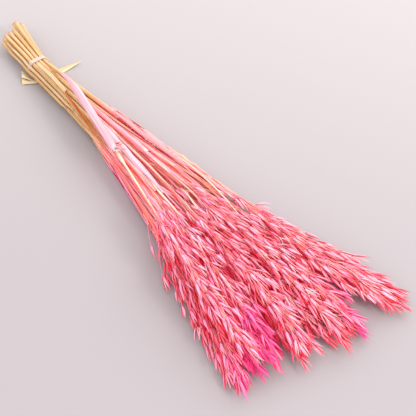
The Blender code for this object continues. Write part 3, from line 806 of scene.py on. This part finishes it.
# the wide dry sheath round the crossing stalk, open below and torn at its far end
def addTornSheath(shell, stalk, dyeAndShade):
    along = np.linspace(0, 1, torn["rings"])[:, None]
    t = np.linspace(0, 1, torn["around"])
    tear = np.interp(t * 4, range(5), torn["tear"]) + torn["ragged"] * np.sin(t * 37) * np.sin(t * 11)
    x = mix(torn["span"], along) + tear * along**3
    middle = np.array([pathOf(stalk, row) for row in x])
    turn = np.radians(mix(torn["arc"], t))
    pleat = torn["pleat"] * np.sin(t * 40 + along * 5) * soften(along * 4 - 0.3)
    grow = soften(along * 4.5 - 0.35)
    wide = mix((stalk.radius, torn["width"] / 2), grow)
    high = mix((stalk.radius, torn["height"]), grow)
    layers = [middle + stack(x.shape, 0.0, (wide - wall + pleat) * np.cos(turn),
                             (high - wall + pleat) * np.sin(turn)) for wall in (0.0, torn["wall"])]
    addRolled(shell, layers, t, along, torn["flat"], along * torn["length"], 0.5, 0.0, dyeAndShade, 3)
    # its torn lobes at the far end
    draw = random.Random(f"{seed}-torn")
    wide, high = torn["lobeRing"]
    for k in range(torn["lobes"]):
        start = torn["lobesFrom"] - draw.uniform(0, torn["lobesOver"])
        angle = math.radians(draw.uniform(10, 175))
        foot = pathOf(stalk, [start])[0] + [0, wide * math.cos(angle), high * math.sin(angle)]
        way = unit(np.array([1.0, draw.uniform(-0.5, 0.5) + 0.35 * math.cos(angle), draw.uniform(0, 0.5)]))
        out = unit(np.cross(way, [0.0, math.sin(angle), -math.cos(angle)]))
        length, width = (draw.uniform(*sizes) for sizes in torn["lobe"])
        addLobe(shell, foot, way, out, length, width, draw.uniform(-0.1, 0.2), draw.uniform(-0.3, 0.4),
                draw.uniform(-0.3, 0.3), draw.random(), dyeAndShade, 0)


# over gives the side of its stalk on which each strip lies
strip = {"over": {4: (-1.0, 0.12), 9: (-0.93, 0.42), 15: (-0.85, 0.62)}, "span": (-0.05, 0.075),
         "half": 2.4 * mm, "crown": 1.3 * mm, "wall": 0.5 * mm, "rings": 40, "off": 0.2 * mm, "step": 9 * mm}


# strips of leaf sheath that lie over the band at its lower side
def addStrip(shell, stalk, chance, dyeAndShade):
    draw = random.Random(f"{seed}-strip-{stalk.number}")
    first, last = strip["span"]
    xs = np.linspace(first + draw.uniform(-0.01, 0.01), last + draw.uniform(-0.02, 0.03), strip["rings"])
    out = unit(np.array([0.0, *strip["over"][stalk.number]]))
    rise = np.exp(-(xs / strip["step"])**2) * (band["thickness"] + band["clearance"])
    spine = pathOf(stalk, xs) + out * (stalk.radius + strip["off"] + rise)[:, None]
    way = unit(np.gradient(spine, axis=0))
    share = np.linspace(0, 1, strip["rings"])
    full = np.minimum(1, np.minimum(share * 9, (1 - share) * 6) + 0.35)
    side = unit(np.cross(way, out)) * (strip["half"] * full)[:, None]
    addBlade(shell, spine - side, spine + side, np.broadcast_to(out, spine.shape), full * strip["crown"],
             strip["wall"], chance, dyeAndShade, across=7)


# the deep strands are extra, wider strips on the lower rows, tinted with painted shade
strand = {"count": 11, "deep": 6, "shadeFillRows": 3, "from": (0.07, 0.30), "length": (0.10, 0.24),
          "pastHead": 0.06, "near": 24 * mm, "width": (1.4 * mm, 3.4 * mm), "wall": 0.3 * mm, "rings": 18,
          "casts": (0.0, 0.0, 0.9, 0.5, -0.9, -0.6, -0.9), "paintedShade": 1.2}


# thin dry strands that lie in the gaps between a stalk and its neighbours; on the lower rows extra, wider
# ones carry painted shade and fill the gaps dark
def addStrands(shell, stalk, stalks, dyeAndShade):
    draw = random.Random(f"{seed}-strand-{stalk.number}")
    t = np.linspace(0, 1, strand["rings"])
    for k in range(strand["count"] + (strand["deep"] if stalk.row < strand["shadeFillRows"] else 0)):
        deep = k >= strand["count"]
        first = draw.uniform(*strand["from"])
        last = min(first + draw.uniform(*strand["length"]), stalk.head + strand["pastHead"])
        beside = [other for other in stalks if other is not stalk and other.head > last - strand["pastHead"]
                  and (other.centre(last) - stalk.centre(last)).length < strand["near"]]
        other = draw.choice(beside or [stalk])
        xs = mix((first, last), t)
        share = mix((draw.uniform(-0.2, 0.5), draw.uniform(0.1, 0.9)), t)[:, None]
        sway = 1.2 * mm * np.sin(t * draw.uniform(3, 9) + draw.uniform(0, 6))
        sag = 2.5 * mm * np.sin(t * np.pi) * draw.uniform(-0.4, 1.2)
        spine = mix((pathOf(stalk, xs), pathOf(other, xs)), share) + stack(t.shape, 0.0, sway, sag)
        way, level, lower = frameOf(spine)
        normal = swung(-lower, level, draw.uniform(0, 3.1) + t * draw.uniform(-1.5, 1.5))
        half = draw.uniform(*strand["width"]) * (0.9 if deep else 0.5) * bellied(t, 0.9, 0.06, 0.5)
        side = np.cross(way, normal) * half[:, None]
        cast = 0.0 if deep else draw.choice(strand["casts"])
        # painted shade: the deep strands carry a full shade tint
        tint = np.array([strand["paintedShade"] if deep else 0.0, dyeAndShade[1], cast])
        addBlade(shell, spine - side, spine + side, normal, half * 0.9, strand["wall"], draw.random(), tint,
                 across=4)


# the straw that broke off short beside the torn sheath, and below it a slot of painted shade, a dark brown
# tube in the gap
broken = {"tube": ((0.012, -6.5, 30.0), (0.045, -7.2, 32.0), (0.082, -9.6, 33.2)), "tubeRings": 16,
          "slot": ((0.076, -10.4, 32.0), (0.11, -14.6, 31.5), (0.15, -20.6, 31.0), (0.185, -25.0, 29.5)),
          "shadeSlotRings": 24, "radius": (2.55 * mm, 3.0 * mm), "shadeSlotRadius": (2.125 * mm, 2.5 * mm),
          "sides": 12, "inside": (0.3 * mm, 5 * mm), "narrow": (0.82, 0.6), "ragged": 2.5 * mm,
          "dyeAndShade": (0.0, 0.2, 0.0)}


def addBroken(shell):
    path = through(broken["tube"], broken["tubeRings"])
    path = np.concatenate([path, [path[-1] - [deep, 0, 0] for deep in broken["inside"]]])
    radius = np.linspace(*broken["radius"], broken["tubeRings"])
    radius = np.concatenate([radius, radius[-1] * np.array(broken["narrow"])])
    angle = 2 * np.pi * np.arange(broken["sides"]) / broken["sides"]
    # the last two rings of the tube and those inside it are ragged
    ragged = np.zeros((len(path), broken["sides"], 3))
    ragged[-4:, :, 0] = broken["ragged"] * np.sin(angle * 2.5 + 1) * np.cos(angle)
    addStraw(shell, path, radius, (0, 2), angle, 1.0, 0.9, path[:, :1], 0.35, 0.0,
             np.array(broken["dyeAndShade"]), ragged)
    # painted shade: a dark brown tube laid in the gap below the broken straw
    path = through(broken["slot"], broken["shadeSlotRings"])
    radius = np.linspace(*broken["shadeSlotRadius"], len(path)) * np.sin(np.linspace(0.5, 3.0, len(path)))
    addTube(shell, path[None], radius[None], 8, np.array([0.2]), np.zeros((1, 3)), 4)


loose = {"path": ((0.140, -9.5, 34.5), (0.164, -10.8, 37.0), (0.196, -13.3, 38.2), (0.229, -15.8, 38.8),
                  (0.264, -17.3, 38.8), (0.292, -19.5, 38.0)),
         "stalk": 20, "half": 4.3 * mm, "crown": 2.2 * mm, "wall": 0.4 * mm, "rings": 36, "lobes": 4,
         "lobe": ((16, 30), (2, 3.6))}


# a second wide pale sheath that has come open and lies over the stalks
def addLoose(shell):
    spine = through(loose["path"], loose["rings"])
    t = np.linspace(0, 1, loose["rings"])
    way, level, lower = frameOf(spine)
    full = np.minimum(1, t * 4 + 0.25) * (1 - 0.5 * soften((t - 0.55) * 2.4)) * (1 + 0.08 * np.sin(t * 31))
    side = -level * (loose["half"] * full)[:, None]
    addBlade(shell, spine - side, spine + side, -lower, full * loose["crown"], loose["wall"], 0.4,
             np.zeros(3), 3, across=11)
    draw = random.Random(f"{seed}-loose")
    for k in range(loose["lobes"]):
        foot = spine[-4] + [0.0, draw.uniform(-2, 2) * mm, draw.uniform(0, 1) * mm]
        aim = unit(way[-1] + [0.0, draw.uniform(-0.15, 0.25), draw.uniform(-0.05, 0.1)])
        out = unit(np.cross(aim, [0.0, 1.0, draw.uniform(-0.4, 0.4)]))
        length, width = (draw.uniform(*sizes) for sizes in loose["lobe"])
        addLobe(shell, foot, aim, -out, length, width, 0.03, 0.02, draw.uniform(-0.1, 0.1),
                draw.random(), np.zeros(3), 3)


# seen gives a place in mm, by stalk, for a bunch of wisps, and prongs where its tips point from there
wisp = {"places": 2, "forks": 2, "length": (9 * mm, 26 * mm), "radius": (0.32 * mm, 0.192 * mm),
        "from": (0.24, 0.52), "off": 4 * mm, "height": (2 * mm, 46 * mm), "dyeAndShade": (0.0, 0.0, -1.0),
        "seen": {21: (306, 1.4, 40), 22: (488, 15, 36), 18: (420, 40, 36)},
        "prongs": ((7, 4), (1, 7), (-5, 3))}


# pale broken wisps that stand off the heads and the stalks
def addWisps(shell, stalk):
    draw = random.Random(f"{seed}-wisp-{stalk.number}")
    stems = []
    for k in range(wisp["places"]):
        x = draw.uniform(*wisp["from"])
        axis = stalk.direction(x)
        side = sideOf(axis, draw.uniform(0, 6.28))
        length = draw.uniform(*wisp["length"])
        start = stalk.centre(x) + side * wisp["off"]
        middle = start + (axis + side * draw.uniform(0.2, 0.8)).normalized() * length / 2
        for fork in range(wisp["forks"]):
            later = (axis + side * draw.uniform(-0.2, 1.1)).normalized()
            stems.append((start, middle, middle + later * length / 2))
    if stalk.number in wisp["seen"]:
        start = Vector(wisp["seen"][stalk.number]) * mm
        for y, z in wisp["prongs"]:
            stems.append((start, start + Vector((6, y / 3, z / 3)) * mm,
                          start + Vector((14 - abs(y) / 2, y, z)) * mm))
    low, high = wisp["height"]
    stems = [stem for stem in stems if min(p.z for p in stem) > low and max(p.z for p in stem) < high]
    addStems(shell, stems, wisp["radius"], np.array(wisp["dyeAndShade"]))


# shader maths, written as arithmetic on sockets


class Value:
    def __init__(self, paint, socket):
        self.paint = paint
        self.socket = socket

    def maths(self, operation, first, second):
        return self.paint.add("ShaderNodeMath", {"operation": operation}, {0: first, 1: second})

    def __add__(self, other):
        return self.maths("ADD", self, other)

    def __sub__(self, other):
        return self.maths("SUBTRACT", self, other)

    def __rsub__(self, other):
        return self.maths("SUBTRACT", other, self)

    def __mul__(self, other):
        return self.maths("MULTIPLY", self, other)

    __radd__ = __add__
    __rmul__ = __mul__

    def between(self, low, high):
        # 0 below low, 1 above high and smooth between them
        return self.paint.add("ShaderNodeMapRange", {"interpolation_type": "SMOOTHSTEP"},
                              {"Value": self, "From Min": low, "From Max": high})


class Paint:
    def __init__(self, name):
        self.made = bpy.data.materials.new(name)
        self.made.use_nodes = True
        self.tree = self.made.node_tree
        self.shader = self.tree.nodes["Principled BSDF"]

    def add(self, kind, settings, sockets, output=0):
        node = self.tree.nodes.new(kind)
        for key, value in settings.items():
            setattr(node, key, value)
        for key, value in sockets.items():
            self.feed(node.inputs[key], value)
        return Value(self, node.outputs[output])

    def feed(self, target, value):
        if isinstance(value, Value):
            self.tree.links.new(value.socket, target)
        elif isinstance(value, tuple) and target.type == "RGBA":
            target.default_value = (*value, 1)
        else:
            target.default_value = value

    def set(self, socket, value):
        self.feed(self.shader.inputs[socket], value)

    def held(self, name):
        return self.add("ShaderNodeAttribute", {"attribute_name": name}, {}, "Vector")

    def split(self, vector):
        parts = self.tree.nodes.new("ShaderNodeSeparateXYZ")
        self.feed(parts.inputs[0], vector)
        return [Value(self, parts.outputs[k]) for k in range(3)]

    def join(self, x, y, z):
        return self.add("ShaderNodeCombineXYZ", {}, {0: x, 1: y, 2: z})

    def position(self):
        return self.add("ShaderNodeNewGeometry", {}, {}, "Position")

    def noise(self, vector, scale, detail=2.0, rough=0.5):
        return self.add("ShaderNodeTexNoise", {}, {"Vector": vector, "Scale": scale, "Detail": detail,
                                                   "Roughness": rough}, "Fac")

    def blend(self, share, first, second):
        return self.add("ShaderNodeMix", {"data_type": "RGBA"}, {0: share, 6: first, 7: second}, 2)

    def layers(self, colour, *others):
        # each colour laid over those before it by its share
        for share, other in others:
            colour = self.blend(share, colour, other)
        return colour

    def bump(self, height, strength, distance):
        return self.add("ShaderNodeBump", {}, {"Height": height, "Strength": strength, "Distance": distance})

    # what every part of the plant has: rougher on its fine lines, little gloss, and a painted glow, emission
    # that stands in for light coming through
    def finish(self, colour, fine, look, normal, paintedGlowShare):
        self.set("Base Color", colour)
        self.set("Roughness", mix(look["roughness"], fine))
        self.set("Normal", normal)
        self.set("Specular IOR Level", look["gloss"])
        self.set("Emission Color", self.blend(paintedGlowShare, (0.0, 0.0, 0.0), look["paintedGlow"]))
        self.set("Emission Strength", 1.0)
        return self.made


# fine lines that run along the plant
def ribs(paint, grain, scale, stretch, detail=2.0):
    x, y, z = paint.split(grain)
    return paint.noise(paint.join(x * scale, y * scale, z * (scale / stretch)), 1.0, detail, 0.6)


# tanFrom and pinkFrom are metres from the band; fine, broad, broadest and streak give how close each set
# of ribs is, and how many times longer than wide
# the dark straw and the deep pink are both the darker ribs and the colours of painted shade; glow is a
# painted glow, emission with no lamp
stemLook = {"straw": (0.62, 0.43, 0.225), "strawPale": (0.67, 0.53, 0.37), "strawDarkAndShade": (0.60, 0.31, 0.105),
            "tan": (0.86, 0.38, 0.17), "pink": (0.94, 0.34, 0.36), "pinkPale": (0.92, 0.57, 0.585),
            "pinkDeepAndShade": (0.94, 0.12, 0.075), "magenta": (0.90, 0.31, 0.50), "cream": (0.80, 0.55, 0.39),
            "tanFrom": (0.04, 0.10), "pinkFrom": (0.05, 0.13), "roughness": (0.40, 0.62),
            "paintedGlow": (0.09, 0.003, 0.002), "fine": (2600.0, 60.0), "broad": (720.0, 40.0),
            "broadest": (330.0, 30.0), "streak": (560.0, 60.0, 3.0), "gloss": 0.15}


def stemFinish(name, look):
    paint = Paint(name)
    chance, along, rim = paint.split(paint.held("tone"))
    paintedShade, warm, cast = paint.split(paint.held("dyeAndShade"))
    grain = paint.held("grain")
    fine = ribs(paint, grain, *look["fine"])
    broad = ribs(paint, grain, *look["broad"]) * 0.6 + ribs(paint, grain, *look["broadest"]) * 0.4
    streak = ribs(paint, grain, *look["streak"])
    cloud = paint.noise(grain, 40.0)
    # how far along the bunch the dye begins, a little uneven from stalk to stalk
    x = paint.split(paint.position())[0]
    start = x - origin.x + (chance - 0.5) * 0.05 + (cloud - 0.5) * 0.03 - (1 - warm) * 0.07
    dyed = start.between(*look["pinkFrom"])
    # painted shade marks the inner walls of sheaths and the hollow cut ends
    inside = rim.between(1.2, 1.8)
    lines = broad.between(0.40, 0.62)
    # painted shade: pieces on the lower rows and under others are darker, in the straw and in the pink
    straw = paint.layers(look["strawDarkAndShade"], (lines, look["straw"]),
                         (fine.between(0.42, 0.62) * broad.between(0.42, 0.6), look["strawPale"]),
                         (paintedShade * 0.7, look["strawDarkAndShade"]))
    pink = paint.layers(look["pinkDeepAndShade"], (lines, look["pink"]),
                        (fine.between(0.40, 0.62) * broad.between(0.44, 0.58), look["pinkPale"]),
                        (warm * 0.7 * chance, look["tan"]),
                        (streak.between(0.50, 0.58) * 0.7, paint.blend(warm, look["pinkPale"], look["tan"])),
                        ((1 - streak).between(0.52, 0.60) * 0.75, look["pinkDeepAndShade"]),
                        (paintedShade * 0.6, look["pinkDeepAndShade"]),
                        (cast.between(0.2, 0.9), look["magenta"]),
                        ((0 - cast).between(0.2, 0.9), look["cream"]))
    colour = paint.layers(straw, (start.between(*look["tanFrom"]), paint.blend(0.35, straw, look["tan"])),
                          (dyed, pink),
                          (rim.between(0.3, 0.9) * (1 - inside) * 0.75,
                           paint.blend(dyed, look["strawPale"], look["pinkPale"])),
                          (inside * 0.7, paint.blend(dyed, look["strawDarkAndShade"], look["pinkDeepAndShade"])))
    # painted glow: emission that stands in for light coming through the thin dyed parts, stronger where
    # painted shade lies
    paintedGlowShare = dyed * (0.3 + paintedShade * 0.7)
    return paint.finish(colour, fine, look, paint.bump(fine * 0.5 + broad, 0.6, 0.5 * mm), paintedGlowShare)


# deep is the crimson of painted shade, and glow a painted glow, emission with no lamp
huskLook = {"rose": (0.90, 0.225, 0.395), "salmon": (0.92, 0.27, 0.345), "lilac": (0.90, 0.26, 0.46),
            "pale": (0.93, 0.52, 0.64), "deep": (0.90, 0.008, 0.045), "hot": (0.94, 0.09, 0.37),
            "cream": (0.92, 0.66, 0.62), "paintedGlow": (0.085, 0.0, 0.008), "roughness": (0.45, 0.65),
            "fine": (3200.0, 70.0), "broad": (1100.0, 40.0), "gloss": 0.15}


def huskFinish(name, look):
    paint = Paint(name)
    chance, along, rim = paint.split(paint.held("tone"))
    paintedShade, warm, hot = paint.split(paint.held("dyeAndShade"))
    grain = paint.held("grain")
    fine = ribs(paint, grain, *look["fine"])
    broad = ribs(paint, grain, *look["broad"])
    # the inner sides of the husks are marked for painted shade
    inside = rim.between(1.2, 1.8)
    # painted shade in deep crimson: at each husk's base where the spikelet joins, on its inner side and under
    # other husks
    colour = paint.layers(look["rose"], (warm, look["salmon"]),
                          ((1 - chance).between(0.55, 0.95) * (1 - warm) * 0.8, look["lilac"]),
                          (chance.between(0.3, 0.9) * 0.6, look["pale"]),
                          (fine.between(0.42, 0.62) * broad.between(0.4, 0.6) * 0.7, look["pale"]),
                          (rim.between(0.25, 0.9) * (1 - inside) * 0.45, look["pale"]),
                          ((1 - along).between(0.80, 1.0) * 0.5, look["deep"]),
                          (inside * 0.6, look["deep"]),
                          (paintedShade * 0.75, look["deep"]),
                          (hot.between(0.3, 0.9) * 0.72, look["hot"]),
                          ((0 - hot).between(0.2, 0.8), look["cream"]))
    # painted glow: emission that stands in for light through the thin dyed husks, so the ones deep in a head
    # still show crimson
    paintedGlowShare = paintedShade * 0.75 + inside * 0.25
    return paint.finish(colour, fine, look, paint.bump(fine + broad, 0.5, 0.3 * mm), paintedGlowShare)


stemSkin = stemFinish("driedStem", stemLook)
huskSkin = huskFinish("dyedHusk", huskLook)
innerSkin = huskFinish("dyedInner", dict(huskLook, rose=(0.93, 0.34, 0.37), salmon=(0.94, 0.40, 0.33),
                                         lilac=(0.92, 0.34, 0.44), pale=(0.95, 0.55, 0.53)))
# the pale sheaths and the slot of painted shade have one colour from end to end
allOver = {"tanFrom": (-0.2, -0.1), "pinkFrom": (-0.2, -0.1)}
paleLook = {"pink": (0.62, 0.41, 0.45), "pinkPale": (0.65, 0.49, 0.53), "pinkDeepAndShade": (0.68, 0.30, 0.35),
            "tan": (0.66, 0.42, 0.42)}
shadeSlotLook = {"pink": (0.48, 0.13, 0.025), "pinkPale": (0.66, 0.27, 0.08), "pinkDeepAndShade": (0.36, 0.07, 0.012),
             "tan": (0.5, 0.16, 0.03)}
tornSkin = stemFinish("paleSheath", {**stemLook, **allOver, **paleLook})
shadeSlotSkin = stemFinish("paintedShadeSlot", {**stemLook, **allOver, **shadeSlotLook})
finishes = [stemSkin, huskSkin, innerSkin, tornSkin, shadeSlotSkin]

# every head is filled out before any is made, so that each knows what lies over it
allFound = [spikeletsOf(stalk) for stalk in stalks]
allStems = []
for stalk, found in zip(stalks, allFound):
    stems, more = growExtras(stalk, rods)
    allStems.append(stems)
    found.extend(more)
middles = np.array([root + way * length / 2 for found in allFound for root, way, length, _, _ in found])
print("spikelets", len(middles))

# slender stalks have no leaf sheath; a cast is 1 for magenta, -1 for cream, and the others draw theirs
dress = {"slender": (0, 3, 8, 9), "casts": {0: 1.0, 3: -0.6, 9: -0.5, 23: -1.0},
         "otherCasts": (0, 0, 0, 0.5, -0.5, -0.7), "stems": (0.42 * mm, 0.3 * mm),
         "branches": (0.55 * mm, 0.4 * mm), "paintedShade": 0.6, "headPaintedShade": 0.2}
total = 0
for stalk, found, stems in zip(stalks, allFound, allStems):
    shell = Shell()
    draw = random.Random(f"{seed}-dress-{stalk.number}")
    chance = draw.random()
    # painted shade: stalks on the lower rows lie under the others and are darker
    paintedShade = 1 - stalk.row / 5
    warm = min(1, max(0, 0.35 + stalk.angle / 20 + draw.uniform(-0.25, 0.25)))
    cast = dress["casts"].get(stalk.number, draw.choice(dress["otherCasts"]))
    dyeAndShade = np.array([paintedShade * dress["paintedShade"], warm, cast])
    headDyeAndShade = np.array([dress["headPaintedShade"], warm, 0.0])
    addCulm(shell, stalk, chance, dyeAndShade)
    if stalk.crosses:
        addTornSheath(shell, stalk, np.zeros(3))
        addBroken(shell)
    else:
        if stalk.number not in dress["slender"]:
            addSheaths(shell, stalk, chance, dyeAndShade)
        addRibbons(shell, stalk, dyeAndShade)
        addStrands(shell, stalk, stalks, dyeAndShade)
    if stalk.number == loose["stalk"]:
        addLoose(shell)
    if stalk.number in strip["over"]:
        addStrip(shell, stalk, chance, np.zeros(3))
    addStems(shell, stems, dress["stems"], headDyeAndShade)
    addStems(shell, [[p for p, _ in rod[:3]] for rod, _, _ in stalk.branches], dress["branches"], headDyeAndShade)
    addSpikelets(shell, found, stalk, middles)
    addWisps(shell, stalk)
    made = shell.build(f"oats_{stalk.number + 1:02d}", finishes)
    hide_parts(f"oat_stalk_{stalk.number + 1:02d}")
    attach(made, "root")
    total += sum(len(face.vertices) - 2 for face in made.data.polygons)
print("stalks dressed, triangles", total)

# the elastic band: the outline of the straws, a flat strip with rounded edges and small creases
bandDress = {"outline": 720, "round": 150, "section": 16, "edge": 3.0, "wave": 0.25 * mm}


def makeBand():
    turns = np.linspace(0, 2 * math.pi, bandDress["outline"], endpoint=False)
    centres = [stalk.centre(0) for stalk in stalks]
    away = straws["radius"] + band["clearance"]
    line = np.array([max(centres, key=way.dot) + way * away
                     for way in (Vector((0, math.cos(t), math.sin(t))) for t in turns)])
    gone = np.concatenate([[0], np.linalg.norm(np.diff(line, axis=0, append=line[:1]), axis=1).cumsum()])
    at = np.linspace(0, gone[-1], bandDress["round"], endpoint=False)
    line = np.concatenate([line, line[:1]])
    line = np.stack([np.interp(at, gone, line[:, k]) for k in range(3)], axis=1)
    out = unit(np.cross(np.roll(line, -1, axis=0) - np.roll(line, 1, axis=0), [1.0, 0.0, 0.0]))
    turn = 2 * np.pi * np.arange(bandDress["section"]) / bandDress["section"]
    across, high = (np.sign(v) * abs(v)**(2 / bandDress["edge"]) for v in (np.cos(turn), np.sin(turn)))
    flat = across * band["width"] / 2
    deep = (high * 0.5 + 0.5) * band["thickness"]
    crease = 1 + 0.12 * np.sin(at * 1100) * np.sin(at * 310)
    shift = bandDress["wave"] * (np.sin(at * 210) + np.sin(at * 90 + 1))
    x = flat[None] * (1 + 0.05 * np.sin(at * 260)[:, None]) + shift[:, None]
    rings = line[:, None] + out[:, None] * (deep[None] * crease[:, None])[..., None]
    rings = rings + np.array([1.0, 0.0, 0.0]) * x[..., None]
    shape = rings[None].shape[:3]
    shell = Shell()
    shell.add(rings[None], stack(shape, x, deep, at[:, None]), stack(shape, 0.5, 0.5, 0.0),
              np.zeros(3), 0, closed=True)
    return shell


bandLook = {"milk": (0.72, 0.64, 0.60), "clear": (0.66, 0.52, 0.40), "roughness": (0.22, 0.45),
            "alpha": (0.35, 0.75), "cloud": 240.0, "lines": (1400.0, 200.0, 60.0)}


def bandFinish(name, look):
    paint = Paint(name)
    cloud = paint.noise(paint.position(), look["cloud"], 3.0)
    grain = [part * scale for part, scale in zip(paint.split(paint.held("grain")), look["lines"])]
    lines = paint.noise(paint.join(*grain), 1.0, 2.0)
    paint.set("Base Color", paint.blend(cloud.between(0.35, 0.65), look["milk"], look["clear"]))
    paint.set("Roughness", mix(look["roughness"], cloud))
    paint.set("Alpha", mix(look["alpha"], (lines * 0.5 + cloud * 0.5).between(0.3, 0.7)))
    paint.set("Normal", paint.bump(lines + cloud, 0.4, 0.3 * mm))
    return paint.made


made = makeBand().build("elasticBand", [bandFinish("milkyElastic", bandLook)], lowest=0)
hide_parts("tie_band")
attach(made, "root")
print("band made")

# the loose leaf, folded double at its left end with a gap between the folds: its two edges in mm, where
# the folds begin and end across it, and how far they part
leaf = {"near": ((-13, -19, 7), (4.4, -13.5, 0.85), (7.5, 6, 0.85), (9.5, 26, 1.6), (17.5, 55, 4)),
        "far": ((4.5, -30, 1.6), (13.5, -14.5, 0.85), (15.5, 6, 0.85), (18.5, 26, 0.45), (17.5, 55, 4)),
        "folds": ((0.0, 0.56), (0.44, 1.0)), "part": (1.5 * mm, 2.5 * mm), "ruffle": 0.25 * mm,
        "crown": 0.08, "wall": 0.4 * mm, "rings": 60, "floor": 0.5 * mm}


def makeLeaf():
    t = np.linspace(0, 1, leaf["rings"])
    near, far = (np.stack([np.interp(t * 4, range(5), axis) for axis in zip(*leaf[key])], axis=1) * mm
                 for key in ("near", "far"))
    shell = Shell()
    up = np.array([0, 0, 1.0])
    lift = up * (1 - soften(t * 3.4))[:, None]
    for side, (low, high) in enumerate(leaf["folds"]):
        first = near + (far - near) * low
        second = near + (far - near) * high
        if side == 0:
            second = second + lift * leaf["part"][0]
        else:
            first = first - lift * leaf["part"][1]
            first[:, 2] = np.maximum(first[:, 2], leaf["floor"])
        ruffle = leaf["ruffle"] * np.sin(t * 23 + side * 2)[:, None] * up
        first, second = first + ruffle, second - ruffle * 0.5
        way = unit(np.gradient((first + second) / 2, axis=0))
        normal = unit(np.cross(unit(second - first), way))
        if normal[len(t) // 2, 2] < 0:
            first, second, normal = second, first, -normal
        crown = np.linalg.norm(second - first, axis=1) * leaf["crown"]
        addBlade(shell, first, second, normal, crown, leaf["wall"], 0.3 + side * 0.4, np.zeros(3), across=9)
    return shell


leafSkin = stemFinish("dryLeaf", dict(stemLook, straw=(0.80, 0.66, 0.42), strawPale=(0.84, 0.75, 0.58),
                                      strawDarkAndShade=(0.66, 0.42, 0.15)))
made = makeLeaf().build("dryLeafBlade", [leafSkin])
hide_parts("loose_leaf")
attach(made, "root")
print("leaf made")

# the floor, with painted light: its colour grows a little paler towards the back, and the room's light
stage = {"floor": (0.352, 0.322, 0.328), "floorPaintedLight": (0.437, 0.400, 0.393), "paintedLightRamp": (-0.35, 0.75),
         "half": 5, "world": (0.98, 0.965, 1.0), "worldStrength": 1.64}
# the lamps: name, place, what they point at, size, power and colour
lamps = (("key", (3.20, 1.05, 2.2), (0.05, 0, 0), 0.8, 70, (1.0, 0.97, 0.93)),
         ("back", (-0.40, 1.55, 1.2), (-0.1, 0.3, 0), 1.2, 12, (1.0, 0.98, 0.97)))


def floorFinish(name):
    paint = Paint(name)
    cloud = paint.noise(paint.position(), 3.0)
    x, y, z = paint.split(paint.position())
    # painted light: the floor's colour grows paler towards the back
    back = (y - x).between(*stage["paintedLightRamp"])
    paint.set("Base Color", paint.blend(cloud * 0.15 + back * 0.85, stage["floor"], stage["floorPaintedLight"]))
    paint.set("Roughness", 0.6 + cloud * 0.2)
    paint.set("Specular IOR Level", 0.2)
    return paint.made


def addFloor():
    mesh = bpy.data.meshes.new("floor")
    far = stage["half"]
    mesh.from_pydata([(-far, -far, 0), (far, -far, 0), (far, far, 0), (-far, far, 0)], [], [(0, 1, 2, 3)])
    mesh.materials.append(floorFinish("paleFloor"))
    put("floor", mesh)


def addLamp(name, place, target, size, power, colour):
    lamp = bpy.data.lights.new(name, "AREA")
    lamp.size = size
    lamp.energy = power
    lamp.color = colour
    made = put(name, lamp)
    made.location = place
    made.rotation_euler = (Vector(place) - Vector(target)).to_track_quat("Z", "Y").to_euler()


view = {"azimuth": 50.8, "elevation": 50.0, "distance": 1.1308, "angle": 24.0, "target": (0.316, 0.0253, 0)}


def addCamera():
    turn, tip = math.radians(view["azimuth"]), math.radians(view["elevation"])
    back = Vector((math.sin(turn) * math.cos(tip), -math.cos(turn) * math.cos(tip), math.sin(tip)))
    lens = bpy.data.cameras.new("camera")
    lens.sensor_width = 36
    lens.angle = math.radians(view["angle"])
    lens.clip_start = 0.01
    made = put("camera", lens)
    made.location = Vector(view["target"]) + origin + back * view["distance"]
    made.rotation_euler = back.to_track_quat("Z", "Y").to_euler()
    bpy.context.scene.camera = made


addFloor()
addCamera()
for lamp in lamps:
    addLamp(*lamp)
world = bpy.data.worlds.new("room")
bpy.context.scene.world = world
world.use_nodes = True
air = world.node_tree.nodes["Background"].inputs
air["Color"].default_value = (*stage["world"], 1)
air["Strength"].default_value = stage["worldStrength"]
bpy.context.scene.view_settings.view_transform = "Standard"
print("stage set")
